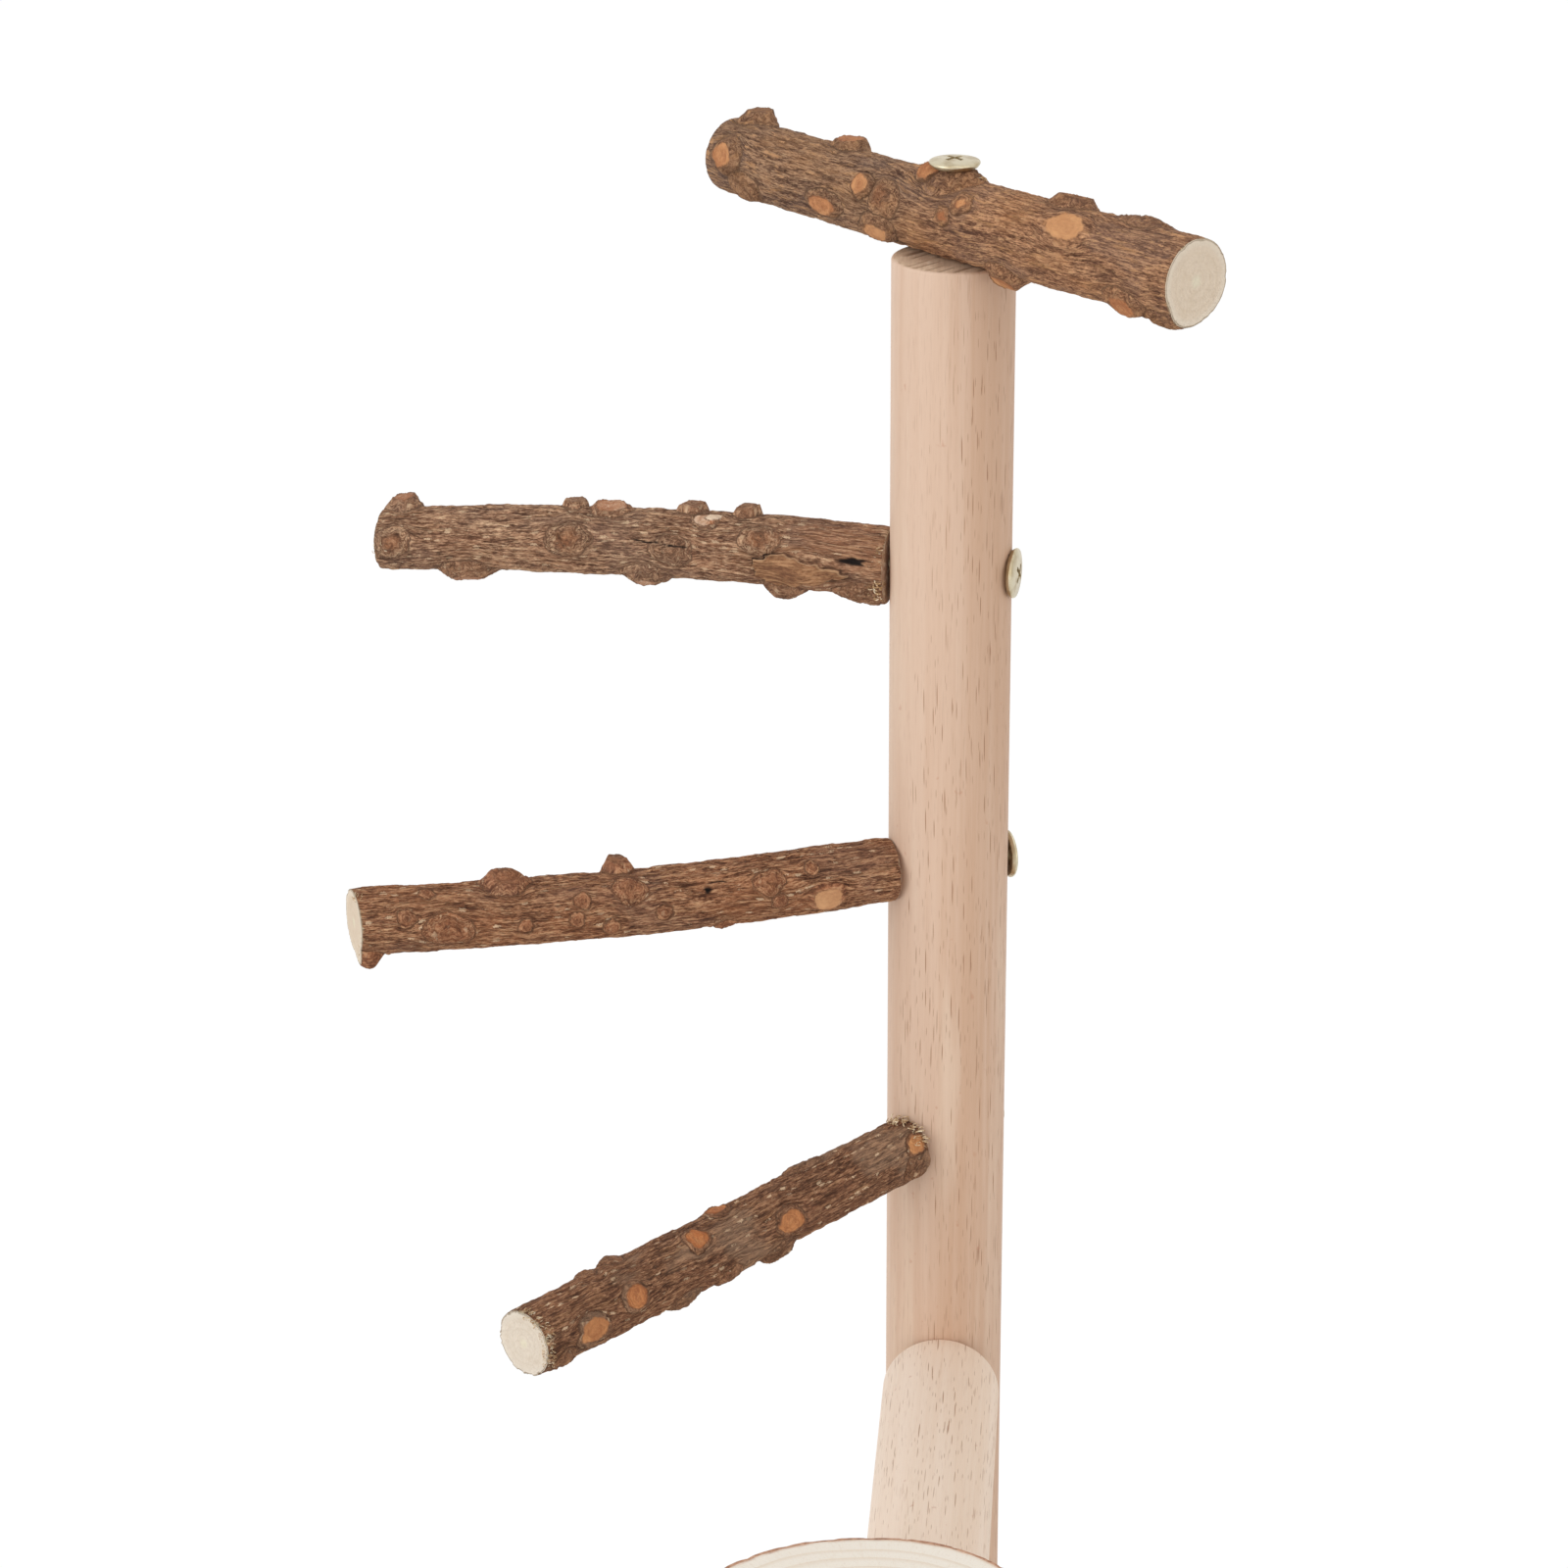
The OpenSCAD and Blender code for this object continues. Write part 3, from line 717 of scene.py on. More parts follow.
def beech_finish(name, width, length, fleck_lean, fleck_more, wood, warm, fleck, end_wood):
    """Sanded beech: faint growth lines, short dark flecks along the grain, and a greyer end."""
    material, bench = new_material(name)
    grain = bench.mark("grain", "Vector")
    end, hollow = bench.mark("end"), bench.mark("hollow")
    side = bench.split(bench.add("ShaderNodeUVMap", {"uv_map": "rolled"}))
    around_mm, length_mm = width * math.pi / mm, length / mm

    def figured(across, along, detail=3, roughness=0.55, warp=0, moved=(0, 0, 0)):
        stretched = bench.scaled(grain, (across, across, along), moved)
        return bench.speckle(stretched, 1, detail, roughness, warp)

    drift = (figured(22, 5, 2) - 0.5) * 5

    def dashes(cell_w, cell_len, size, seed):
        # One dash in each cell of so many millimetres round and along the rod.
        spot = bench.joined((side * around_mm + drift) * (1 / cell_w),
                            side.also("Y") * (length_mm / cell_len), seed)
        cells = bench.add("ShaderNodeTexVoronoi", {"voronoi_dimensions": "2D"},
                          {"Vector": spot, "Scale": 1}, "Distance")
        shade = bench.split(cells.also("Color"))
        return bench.between(cells, size, size * 0.5) * bench.between(shade, 0.2, 0.7)

    figure = figured(60, 3.2, 3, 0.5, 0.6, (3, 1, 0))
    hairs = figured(2600, 110, 3, 0.6)
    # Share of the way across the rod towards +x. The flecks grow thicker towards that side, and the
    # wood there is painted warmer and darker: partly its own tone, partly painted shade on the side
    # turned from the key lamp.
    right_shade_and_flecks = bench.split(grain) * (1 / width)
    many = figured(45, 9, 2, moved=(0, 5, 2)) + right_shade_and_flecks * fleck_lean
    many = bench.between(many + fleck_more, 0.42, 0.72)
    streak = figured(520, 8, moved=(0, 2, 7))
    # Warmer towards +x: partly the wood's own tone, partly painted shade.
    warmth = figure * 0.6 + streak * 0.5 + right_shade_and_flecks * 0.3
    colour = bench.coats(
        bench.mix(bench.between(warmth, 0.34, 0.82), wood, warm),
        (figured(110, 7), 0.52, 0.7, 0.32, (238, 218, 196)),
        (hairs, 0.54, 0.76, 0.24, fleck),
    )
    flecks = dashes(1.0, 15, 0.12, 0) * (0.15 + many * 0.5) + dashes(1.4, 34, 0.11, 3) * many * 0.9
    flecks = (flecks + dashes(2.0, 56, 0.09, 8) * many).worked("MINIMUM", 0.85)
    pink = bench.speckle(bench.scaled(grain, (300, 300, 210), (0, 0, 1)), 1, 2)
    colour = bench.coats(bench.mix((1 - end) * flecks, colour, fleck),
                         (pink, 0.70, 0.78, (1 - end) * 0.4, (196, 140, 112)))
    cut = figured(420, 60, 4, 0.65)
    years = bench.speckle(bench.scaled(grain, (900, 90, 60)), 1, 3, 0.6, 0.4)
    sawn = bench.ramp(cut * 0.5 + years * 0.5, (0.34, (200, 168, 140)), (0.55, end_wood),
                      (0.7, (240, 218, 194)))
    # Painted shade in the saw marks' grooves.
    sawn = bench.coats(sawn, (hollow, 0.15, 0.9, 0.7, (144, 108, 82)))
    bump = hairs * 0.5 + figure * 0.4 - flecks * 0.8 + cut * end * 1.5
    finish(bench.mix(end, colour, sawn), 0.56 + end * 0.25, bump, bump_height=0.06 * mm)
    return material


post_place = Matrix.Translation((0, 0, post_low.z))
post = dowel("post_dowel", post_d, post_len, post_place, 8)
through = post_d + 4 * mm
arm_low, arm_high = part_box("platform_arm")
arm_z = (arm_low.z + arm_high.z) / 2
cross_bores = [
    (Vector(joint["pos_m"]) - Vector(joint["axis"]) * through / 2, joint["axis"], screw_hole_r, through)
    for joint in (joints[f"{perch}_perch_turn"] for perch in ("upper", "middle", "lower"))
]
drill(post, cross_bores
      + [((0, through / 2, arm_z), (0, -1, 0), screw_hole_r, through),
         ((0, 0, post_high.z), (0, 0, -1), screw_hole_r, top_screw_bite + screw_hole_spare)]
      + [((x, y, post_low.z), (0, 0, 1), screw_hole_r, base_screw_bite + screw_hole_spare)
         for x, y, z in screw_feet])
post.data.materials.append(beech_finish(
    "post_beech", post_d, post_len, fleck_lean=0.4, fleck_more=0.07, wood=(222, 192, 169),
    warm=(208, 171, 143), fleck=(158, 114, 84), end_wood=(226, 198, 170),
))
fitted(post, "stand", "post")


# The top perch: a straight length of knobby branch lying across the post's end grain, sawn
# square at both ends, its thorns cut back to stubs. One screw through a filed flat holds it.
branch_sides = 190
ring_pitch = 0.44 * mm
saw_ease = 0.22 * mm
peel_depth = 0.38 * mm
end_tear = 0.05 * mm
lump_h = 0.3 * mm
strand_mm, hair_mm, ridge_mm, flake_mm = 0.34, 0.20, 0.20, 0.24
knot_rim_dip = 0.07 * mm
saw_texture = 0.05 * mm
flap_groove = 0.3 * mm
peel_ease = 0.2 * mm
post_top = post_high.z
turn_gap = 0.3 * mm
top_turn = math.radians(135.5)
top_front_reach = 92 * mm
head_seat_r = 7.6 * mm
top_shape = dict(length=187.5 * mm, root_d=23.4 * mm, tip_d=21.4 * mm, rise=0, bow=0,
                 side_bow=1.2 * mm)
# A knot has its station along the branch, its angle from the top, its height, half length and
# half width in radii of the branch, the share of it that is flat on top, and its kind. A sawn,
# slant or pale one is cut to bare wood, a stub is cut but weathered, and the others are grown over.
top_knots = [
    (0.490, 0, 0.31, 1.00, 0.80, 0.60, "plain"), (0.955, -20, 0.38, 0.66, 0.56, 0.45, "stub"),
    (0.950, 74, 0.20, 0.62, 0.52, 0.62, "sawn"), (0.912, 122, 0.20, 0.60, 0.55, 0.50, "plain"),
    (0.735, -13, 0.26, 0.62, 0.50, 0.60, "slant"), (0.715, 104, 0.13, 0.66, 0.42, 0.70, "sawn"),
    (0.585, 68, 0.20, 0.56, 0.52, 0.35, "eye"), (0.605, 122, 0.14, 0.72, 0.46, 0.62, "sawn"),
    (0.634, 61, 0.19, 0.40, 0.33, 0.70, "sawn"),
    (0.350, 156, 0.28, 0.62, 0.60, 0.50, "slant"), (0.262, -20, 0.24, 0.72, 0.56, 0.60, "sawn"),
    (0.215, 45, 0.06, 0.76, 0.50, 0.82, "pale"), (0.118, -20, 0.14, 0.85, 0.55, 0.65, "plain"),
    (0.090, 132, 0.18, 0.60, 0.50, 0.55, "slant"), (0.030, 160, 0.16, 0.85, 0.60, 0.50, "plain"),
    (0.045, -75, 0.30, 0.50, 0.50, 0.30, "sawn"), (0.427, 49, 0.03, 0.34, 0.30, 0.70, "sawn"),
    (0.455, 73, 0.03, 0.26, 0.24, 0.70, "sawn"), (0.522, 16, 0.28, 0.46, 0.32, 0.75, "slant"),
]


def bare_r(shape, station):
    """The branch's radius at a station along it, without its knots."""
    return (shape["root_d"] + (shape["tip_d"] - shape["root_d"]) * station) / 2


def branch(name, shape, knots, place, rough, seed, bore_depth=0, peel=(0, 0), cracks=(), flaps=(),
           trim=None):
    """A length of thorny branch along its own x: bark fibres that flow round its knots.

    A crack has its station, its angle, its half length and half width, and its depth. A flap of
    torn bark has where it starts and ends along the branch, its angle, half its turn and its rise.
    """
    length = shape["length"]
    s = np.linspace(0, 1, round(length / ring_pitch))[:, None]
    turns = (np.arange(branch_sides) * 2 * np.pi / branch_sides)[None, :]
    plain = bare_r(shape, s)
    foot_soft, rim_soft = 0.04, 0.016
    eye_level = 68
    lift = np.zeros((len(s), branch_sides))
    sawn, eye, tone, knot_near, calm = lift, lift, lift + 0.5, lift + 3, lift
    swirled = lift > 0
    swirl = np.zeros((*lift.shape, 3))
    flow = turns + 0 * s
    # Each knot raises the skin, and is bare wood where it is cut. The fibres bend round its foot.
    for number, (station, angle, tall, half_len, half_wide, flat_top, kind) in enumerate(knots):
        knot_r = bare_r(shape, station)
        along = (s - station) * length / (knot_r * half_len)
        off = turn_from(turns, math.radians(angle))
        skin = spots(s * length, off * plain, 0)
        way = np.arctan2(off / half_wide, along)
        wobble = noise(spots(np.cos(way), np.sin(way), number), 0.8, seed + 5, unit=1)
        near = np.hypot(along, off / half_wide) / (1 + 0.24 * wobble)
        lean_x, lean_y = (0.12 * math.sin(7.1 * number + seed + axis) for axis in (0, 2))
        if kind in ("slant", "stub"):
            lean_y = math.copysign(0.65, angle - eye_level)
        top = tall * (1 + lean_x * along + lean_y * off / half_wide)
        top = (1 + np.clip(top, 0, tall * 1.15)) / np.maximum(np.cos(off), 0.3) - 1
        if kind in ("eye", "plain", "wart", "swell"):
            ripple = 0.012 * np.cos(near * 17 + 3 * wobble) * np.clip(1.1 - near, 0, 1)
            dimple = 0.3 * tall * np.exp(-(near / 0.3) ** 2)
            core = 1 - near**2
            height = tall * np.sign(core) * np.abs(core) ** 1.15 + (ripple - dimple) * (kind == "eye")
            face = near * 0
        else:
            cone = tall * (1 - near) / (1 - flat_top)
            height = -rim_soft * np.logaddexp(-cone / rim_soft, -top / rim_soft)
            nicked = (0.028 * noise(skin, 1.7, seed + number)
                      + 0.014 * noise(skin, 0.7, seed + number + 20))
            face = smooth_step(cone - top + nicked, -0.006, 0.03) * (0.25 if kind == "stub" else 1)
        foot = foot_soft * np.log1p(np.exp(np.clip(height / foot_soft, -30, 30)))
        better = foot > lift
        lift = np.maximum(lift, foot)
        sawn = np.where(better & (near < 1.2), face, sawn)
        inside = better & (near < 1.02) & (kind not in ("pale", "swell"))
        size = knot_r * half_len * 0.7
        frayed = 0.24 * noise(skin, 2.2, seed + number)
        wound = np.stack([2.5 * size * near * np.cos(way), size * (near + frayed + number),
                          0.5 * size * near * np.sin(way)], -1)
        swirl = np.where(inside[..., None], wound, swirl)
        swirled = swirled | inside
        shade = {"pale": 1.05, "slant": 0.2}.get(kind, 0.4 + 0.4 * math.sin(5.3 * number + seed))
        tone = np.where(better & (near < 1.3), shade, tone)
        round_eye = {"eye": 1.0, "wart": 0.8}.get(kind, 0.0)
        eye = np.where(better & (near < 1.1), round_eye, np.where(better, 0, eye))
        knot_near = np.minimum(knot_near, near)
        calm = np.maximum(calm, min(1, tall / 0.15) ** 2 * np.exp(-((near - 1.02) / 0.09) ** 2))
        pull = np.exp(-np.clip(near - 1, 0, None) / 0.5) / np.maximum(near, 1) ** 2
        flow = flow - 0.4 * off * pull

    # The bark's relief: fibres along the grain, swirled on a knot, smooth where it is sawn.
    wavy = noise(spots(s * length, plain * np.sin(turns), plain * np.cos(turns)), 16, seed + 9)
    flow = flow + 0.05 * wavy
    grain = spots(s * length, plain * np.sin(flow), plain * np.cos(flow))
    lumps = noise(grain, (16, 8, 8), seed + 3)
    grain = np.where(swirled[..., None], swirl, grain)
    ridges = 1 - 2 * np.abs(noise(grain, (15, 2.3, 2.3), seed))
    strands = 1 - 2 * np.abs(noise(grain, (7, 1.15, 1.15), seed + 1))
    hairs = noise(grain, (4, 0.8, 0.8), seed + 2) * (1 - 0.7 * swirled)
    flakes = smooth_step(noise(grain, (9, 3.2, 3.2), seed + 4), 0.1, 0.22)
    rough = rough * (1 - 0.93 * sawn) * (1 + 0.1 * (knot_near < 1.1)) * (1 - 0.85 * calm)
    crests = rough * (strand_mm * strands + hair_mm * hairs - 0.16)
    relief = mm * (crests + rough * (ridge_mm * ridges + flake_mm * flakes - 0.04))
    relief = relief + lump_h * lumps * (1 - sawn)
    from_end = np.minimum(s, 1 - s) * length
    relief = relief * (0.15 + 0.85 * smooth_step(from_end, 0.3 * mm, 3 * mm))
    rim_dip = knot_rim_dip * calm * (1 - sawn)

    # Cracks sink into the bark, with a painted shadow kept for them, and a flap stands off it with a
    # groove along its edge.
    crack_shadow = 0
    for station, angle, half_len, half_wide, deep in cracks:
        off = turn_from(turns, math.radians(angle)) + 0.09 * noise(spots(s * length, 0, 0), 5, seed)
        near = np.hypot((s - station) * length / half_len, off * plain / half_wide)
        near = near + 0.45 * noise(grain, (2.4, 1.0, 1.0), seed + 7)
        crack_shadow = np.maximum(crack_shadow, 1 - smooth_step(near, 0.45, 1))
        relief = relief - deep * (1 - smooth_step(near, 0.3, 1))
    flap_edge = lift - 1
    for near_end, far_end, angle, half_turn, rise in flaps:
        off = np.degrees(turn_from(turns, math.radians(angle)))
        share = (s * length - near_end) / (far_end - near_end)
        half = half_turn * np.clip(share / 0.7, 0, 1) ** 0.7 * (1 - 0.45 * smooth_step(share, 0.76, 1))
        inside = np.minimum(np.radians(half - abs(off)) * plain, (1 - share) * (far_end - near_end))
        inside = inside / mm + 0.9 * noise(grain, (3, 1.1, 1.1), seed + 14) - 0.2
        inside = np.where(share > 0, inside, -1)
        flap_edge = np.maximum(flap_edge, inside)
        lifted = smooth_step(inside, -0.15, 0.25) * (0.35 + 0.65 * np.clip(share, 0, 1))
        curl = np.exp(-((inside - 0.5) / 0.5) ** 2) * 0.3
        relief = relief * (1 - 0.4 * smooth_step(inside, 0, 0.3)) + rise * lifted * (1 + curl)
        relief = relief - flap_groove * np.exp(-((inside + 0.45) / 0.25) ** 2)
    face_marks = saw_texture * noise(grain, (1.2, 1.2, 1.2), seed + 8) * sawn
    crests = np.where(flap_edge > -1, np.minimum(crests, relief / mm), crests)

    # At its ends the bark has come off the wood in a ragged edge.
    peeled = 0 * lift
    for end, reach in enumerate(peel):
        ragged = noise(spots(np.cos(turns) * 3, np.sin(turns) * 3, s * 0 + end), 1.0, seed + 10, 1)
        torn = noise(spots(np.cos(turns) * 14, np.sin(turns) * 14, s * 0 + end), 1, seed, 1)
        depth = np.clip(reach * (np.clip(ragged, -0.3, 1) + 0.5 * torn), 0.02 * mm, None)
        distance = (s - end) * length * (1 if end == 0 else -1)
        reached = 1 - smooth_step(distance, depth * 0.75, depth + peel_ease)
        peeled = np.maximum(peeled, reached * smooth_step(depth, 0.02 * mm, peel_ease))
    radius = plain * (1 + lift) + relief - rim_dip + face_marks - peel_depth * peeled

    swell = np.sin(np.pi * s)
    middle = spots(length * s, shape["side_bow"] * swell, shape["rise"] * s + shape["bow"] * swell)
    wall = middle + radius[..., None] * spots(0, np.sin(turns), np.cos(turns))
    wall[0, :, 0], wall[-1, :, 0] = saw_ease, length - saw_ease
    wall_marks = {
        "grain": grain, "sawn": sawn, "knot": np.clip(knot_near, 0, 3), "tone": tone, "eye": eye,
        # hollow is the relief's height, which the material paints as shade in the hollows and highlight
        # on the crests. gap is the cracks' painted shadow.
        "hollow": crests, "peel": peeled, "gap": crack_shadow + 0 * lift, "ring": lift * 0 - 1,
        "flap": flap_edge,
    }

    # Each end is a disc of end grain, with the screw's bore in the first one.
    end_levels = {
        "sawn": 0, "knot": 3, "tone": 0.5, "eye": 0, "hollow": 0, "peel": 0, "gap": 0, "flap": -1,
    }
    discs, disc_marks = [], []
    for end in (0, 1):
        rim = wall[-end].copy()
        centre = np.array(middle[-end, 0])
        rim[:, 0] = centre[0]
        rim[:, 1:] = centre[1:] + (rim[:, 1:] - centre[1:]) * (1 - saw_ease / plain[-end, 0])
        bored = bore_depth and end == 0
        inner = centre + spots(0, np.sin(turns[0]), np.cos(turns[0])) * (screw_hole_r if bored else 0)
        disc = inner + (rim - inner) * np.linspace(0.02, 1, 30)[:, None, None]
        ring_share = (np.linalg.norm(disc - centre, axis=-1)
                      / np.linalg.norm(rim - centre, axis=-1)[None])
        if bored:
            bore = np.stack([inner + (depth, 0, 0) for depth in np.linspace(bore_depth, 0, 6)])
            disc = np.concatenate([bore, disc])
            ring_share = np.concatenate([np.zeros((len(bore), branch_sides)), ring_share])
        else:
            tear = end_tear * np.abs(noise(disc, (1, 0.7, 3), seed + 12))
            disc[..., 0] += np.where(end == 0, 1, -1) * tear * (ring_share < 0.97)
        marks = {mark: np.full(disc.shape[:2], float(level)) for mark, level in end_levels.items()}
        marks.update({"grain": disc.copy(), "ring": ring_share})
        order = slice(None, None, 1 if end == 0 else -1)
        discs.append(disc[order])
        disc_marks.append({mark: values[order] for mark, values in marks.items()})
    rings = np.concatenate([discs[0], wall, discs[1]])
    marks = {mark: np.concatenate([disc_marks[0][mark], values, disc_marks[1][mark]])
             for mark, values in wall_marks.items()}
    counts = [len(discs[0]), len(wall), len(discs[1])]
    spreads = np.concatenate([np.linspace(0.03, 1, counts[0]), np.ones(counts[1]),
                              np.linspace(1, 0.03, counts[2])])
    zones = np.repeat([first_end, wall_zone, last_end], counts)
    world = np.array(place)
    rings = rings @ world[:3, :3].T + world[:3, 3]
    if trim:
        trim(rings)
    return loft(name, rings, zones, spreads, end_map_r, marks)


def bark_finish(name, tones):
    """Fibrous bark in the perch's own tones, with orange sawn knots and cream end grain."""
    material, bench = new_material(name)
    between = bench.between
    grain = bench.mark("grain", "Vector")
    sawn, knot, tone, eye, hollow, peel, gap, ring, flap = (
        bench.mark(mark)
        for mark in ("sawn", "knot", "tone", "eye", "hollow", "peel", "gap", "ring", "flap")
    )

    def drawn_out(share, scale, detail=3, roughness=0.6, warp=0, moved=(0, 0, 0)):
        return bench.speckle(bench.scaled(grain, (share, 1, 1), moved), scale, detail, roughness, warp)

    fine = drawn_out(0.2, 3000, 4, 0.7)
    strands = drawn_out(0.07, 1200, warp=0.3, moved=(0.3, 0.2, 0))
    broad = drawn_out(0.3, 170, 4, warp=0.4)
    patch = drawn_out(0.5, 62, 3, 0.5, moved=(0.4, 0.1, 0))
    long = drawn_out(0.13, 760, 3, 0.55, moved=(0.7, 0.4, 0))
    wrinkle = drawn_out(0.2, 700)
    sawn_fine = drawn_out(0.5, 380, 5, 0.7)
    dark, deep, middle, light, pale = tones["bark"]
    stub, bright_stub = tones["stub"]
    cut, pale_cut, stain = tones["cut"]
    wood, grey_wood, rim_wood = tones["end"]

    rolled = bench.add("ShaderNodeUVMap", {"uv_map": "rolled"})
    share = bench.split(rolled, "Y")
    # The bark's tones follow its relief: painted shade in the hollows and painted highlight on the
    # crests, over its own fibres and patches.
    colour = bench.coats(
        bench.ramp(fine * 0.8 + strands * 0.17 + hollow * 0.24,
                   (0.375, dark), (0.43, deep), (0.48, middle), (0.535, light), (0.62, pale)),
        (patch, 0.48, 0.66, tones["warm_share"], tones["warm"]),
        (patch, 0.47, 0.36, tones["cool_share"], tones["cool"]),
        (share, 0.27, 0.14, between(broad, 0.35, 0.55) * tones["root_warm"], tones["warm"]),
    )
    colour = bench.mix(between(share, 0.4, 0.64), colour, tones["far_shade"], "MULTIPLY")
    # gaps: thin lines between the fibres, sunk by the bump and painted dark as shade in the crevices.
    gaps = between(abs(strands - 0.47), 0.032, 0.004)
    bent = bench.vector("ADD", bench.scaled(grain, (330, 1000, 1000)), bench.add(
        "ShaderNodeTexNoise", None, {"Vector": grain, "Scale": 1900, "Detail": 3}, "Color"))
    flakes = bench.add("ShaderNodeTexVoronoi", None, {"Vector": bent, "Scale": 1}, "Distance")
    lot = bench.split(flakes.also("Color"))
    grown_over = bench.ramp(wrinkle * 0.6 + fine * 0.4, (0.40, stub), (0.60, bright_stub))
    colour = bench.coats(
        colour,
        (long, 0.55, 0.66, between(broad, 0.36, 0.56) * tones["streaks"], tones["streak"]),
    )
    # Painted shade: the fibres' crevices go dark. Beside them run pale lines, partly pale fibres and
    # partly painted highlight on their edges.
    colour = bench.coats(
        bench.mix(gaps * (0.25 + broad * 0.6), colour, dark),
        (abs(strands - 0.57), 0.02, 0.004, between(broad, 0.4, 0.6) * 0.7, pale),
        (flakes, 0.46, 0.3, between(lot, tones["chip_edge"], 0.95) * 0.85, tones["chip"]),
        (1.1 - knot, 0, 0.35, 0.4, grown_over),
    )

    stained = 1.4 - tone
    face = bench.coats(
        bench.mix(tone, cut, pale_cut),
        (sawn_fine, 0.42, 0.6, stained * 0.7, stain),
        (fine, 0.48, 0.66, 0.5, pale_cut),
        (fine, 0.45, 0.34, 0.35, middle),
        ((knot * 24 + broad * 14).worked("SINE"), 0.1, 0.9, 0.1, stain),
        (broad, 0.54, 0.40, stained * 0.55, stain),
        (broad, 0.52, 0.66, 0.6, pale_cut),
    )
    eyed = bench.ramp(wrinkle * 0.5 + fine * 0.5, (0.40, stub), (0.50, (164, 108, 74)),
                      (0.62, (200, 150, 112)))
    shred = bench.ramp(strands * 0.6 + fine * 0.4, (0.40, (122, 82, 58)), (0.50, (170, 122, 86)),
                       (0.60, (198, 152, 112)))
    shred = bench.coats(shred, (flap, 0.4, 0.05, 0.6, (214, 176, 136)))
    lip = between(knot, 0.55, 0.75) * between(knot, 1.0, 0.8)
    colour = bench.coats(
        bench.mix(sawn, colour, face),
        (sawn, 0.02, 0.4, between(sawn, 1.0, 0.6) * between(broad, 0.42, 0.6) * 0.7, deep),
        (knot + fine * 0.6, 1.0, 0.5, eye * 0.75, eyed),
        (fine, 0.46, 0.6, eye * lip * 0.45, pale),
        # Painted shadow: a dark band just outside the torn flap's edge, where it stands off the bark.
        (flap, -0.75, -0.3, between(flap, 0.05, -0.15) * between(broad, 0.34, 0.6), (54, 38, 30)),
    )
    colour = bench.mix(between(flap, -0.05, 0.1), colour, shred)
    # Painted shade: the deepest hollows of the relief go dark, and the cracks near black brown.
    colour = bench.coats(colour, (hollow, -0.35, -0.75, 0.7, dark))
    colour = bench.mix(gap, colour, (40, 31, 27))
    torn = bench.ramp(fine, (0.40, (190, 160, 122)), (0.56, (228, 210, 178)))
    colour = bench.mix(peel, colour, torn)

    drift = (bench.speckle(grain, 120, 2) - 0.5) * 0.16
    at_root = between(bench.split(grain), 0.03, 0.02) * tones["root_dark"]
    end_grain = bench.coats(
        wood,
        (((ring + drift) * 30).worked("SINE"), 0.3, 1, 0.22, grey_wood),
        (bench.speckle(grain, 330, 3, 0.6), 0.48, 0.7, 0.3, grey_wood),
        (ring, 0.22, 0.05, 0.8, (236, 226, 200)),
        (ring + drift * 0.3, 0.8, 0.9, 0.5, rim_wood),
        (ring + (sawn_fine - 0.5) * 0.05, 0.955, 1.0, 0.8, (138, 114, 84)),
        (sawn_fine, 0.36, 0.5, at_root, middle),
    )
    on_end = between(ring, -0.5, -0.1)
    bump = (fine + wrinkle * 0.5 - gaps * 0.25) * (1 - sawn * 0.75) + sawn_fine * sawn * 0.5
    finish(bench.mix(on_end, colour, end_grain), 0.88 - sawn * 0.14, bump * (1 - on_end * 0.8),
           bump_height=0.75 * mm)
    return material


top_tones = {
    "bark": ((102, 68, 51), (136, 95, 70), (170, 122, 90), (197, 146, 108), (224, 172, 128)),
    "warm": (194, 134, 86), "warm_share": 0.42, "cool": (140, 112, 98), "cool_share": 0.35,
    "chip": (216, 166, 122), "chip_edge": 0.7, "root_dark": 0.0, "root_warm": 0.0,
    "far_shade": (0.80, 0.90, 1, 1), "streak": (212, 158, 108), "streaks": 0.6,
    "stub": ((112, 76, 54), (168, 118, 80)),
    "cut": ((190, 122, 76), (216, 160, 110), (158, 98, 62)),
    "end": ((230, 211, 188), (215, 193, 165), (240, 227, 208)),
}
top_cross = top_front_reach / top_shape["length"]
top_axis_z = post_top + turn_gap + bare_r(top_shape, top_cross)
top_place = (
    Matrix.Translation((0, 0, top_axis_z)) @ Matrix.Rotation(top_turn, 4, "Z")
    @ Matrix.Translation((
        -top_front_reach, -top_shape["side_bow"] * math.sin(math.pi * top_cross), 0,
    ))
)
seat_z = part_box("top_perch_screw")[1].z - head_t - turn_gap


def file_flats(rings):
    """Files the top perch flat under the screw's head, and clear of the post below it."""
    reach = np.hypot(rings[..., 0], rings[..., 1])
    height = rings[..., 2]
    clear = np.maximum(height, post_top + turn_gap / 2)
    height = np.where(reach < post_d / 2 + 1 * mm, clear, height)
    rings[..., 2] = np.where(reach < head_seat_r, np.minimum(height, seat_z), height)


top_perch = branch("top_perch_branch", top_shape, top_knots, top_place, rough=0.9, seed=21,
                   peel=(0.3 * mm, 0.3 * mm), trim=file_flats)
drill(top_perch, [((0, 0, seat_z), (0, 0, -1), screw_hole_r, seat_z - post_top + 2 * mm)])
top_perch.data.materials.append(bark_finish("top_perch_bark", top_tones))
fitted(top_perch, "top_perch", "top_perch")
screws("top_perch_screw", "stand", (0, 0, seat_z + turn_gap), (0, 0, -1),
       seat_z + turn_gap - post_top + top_screw_bite)


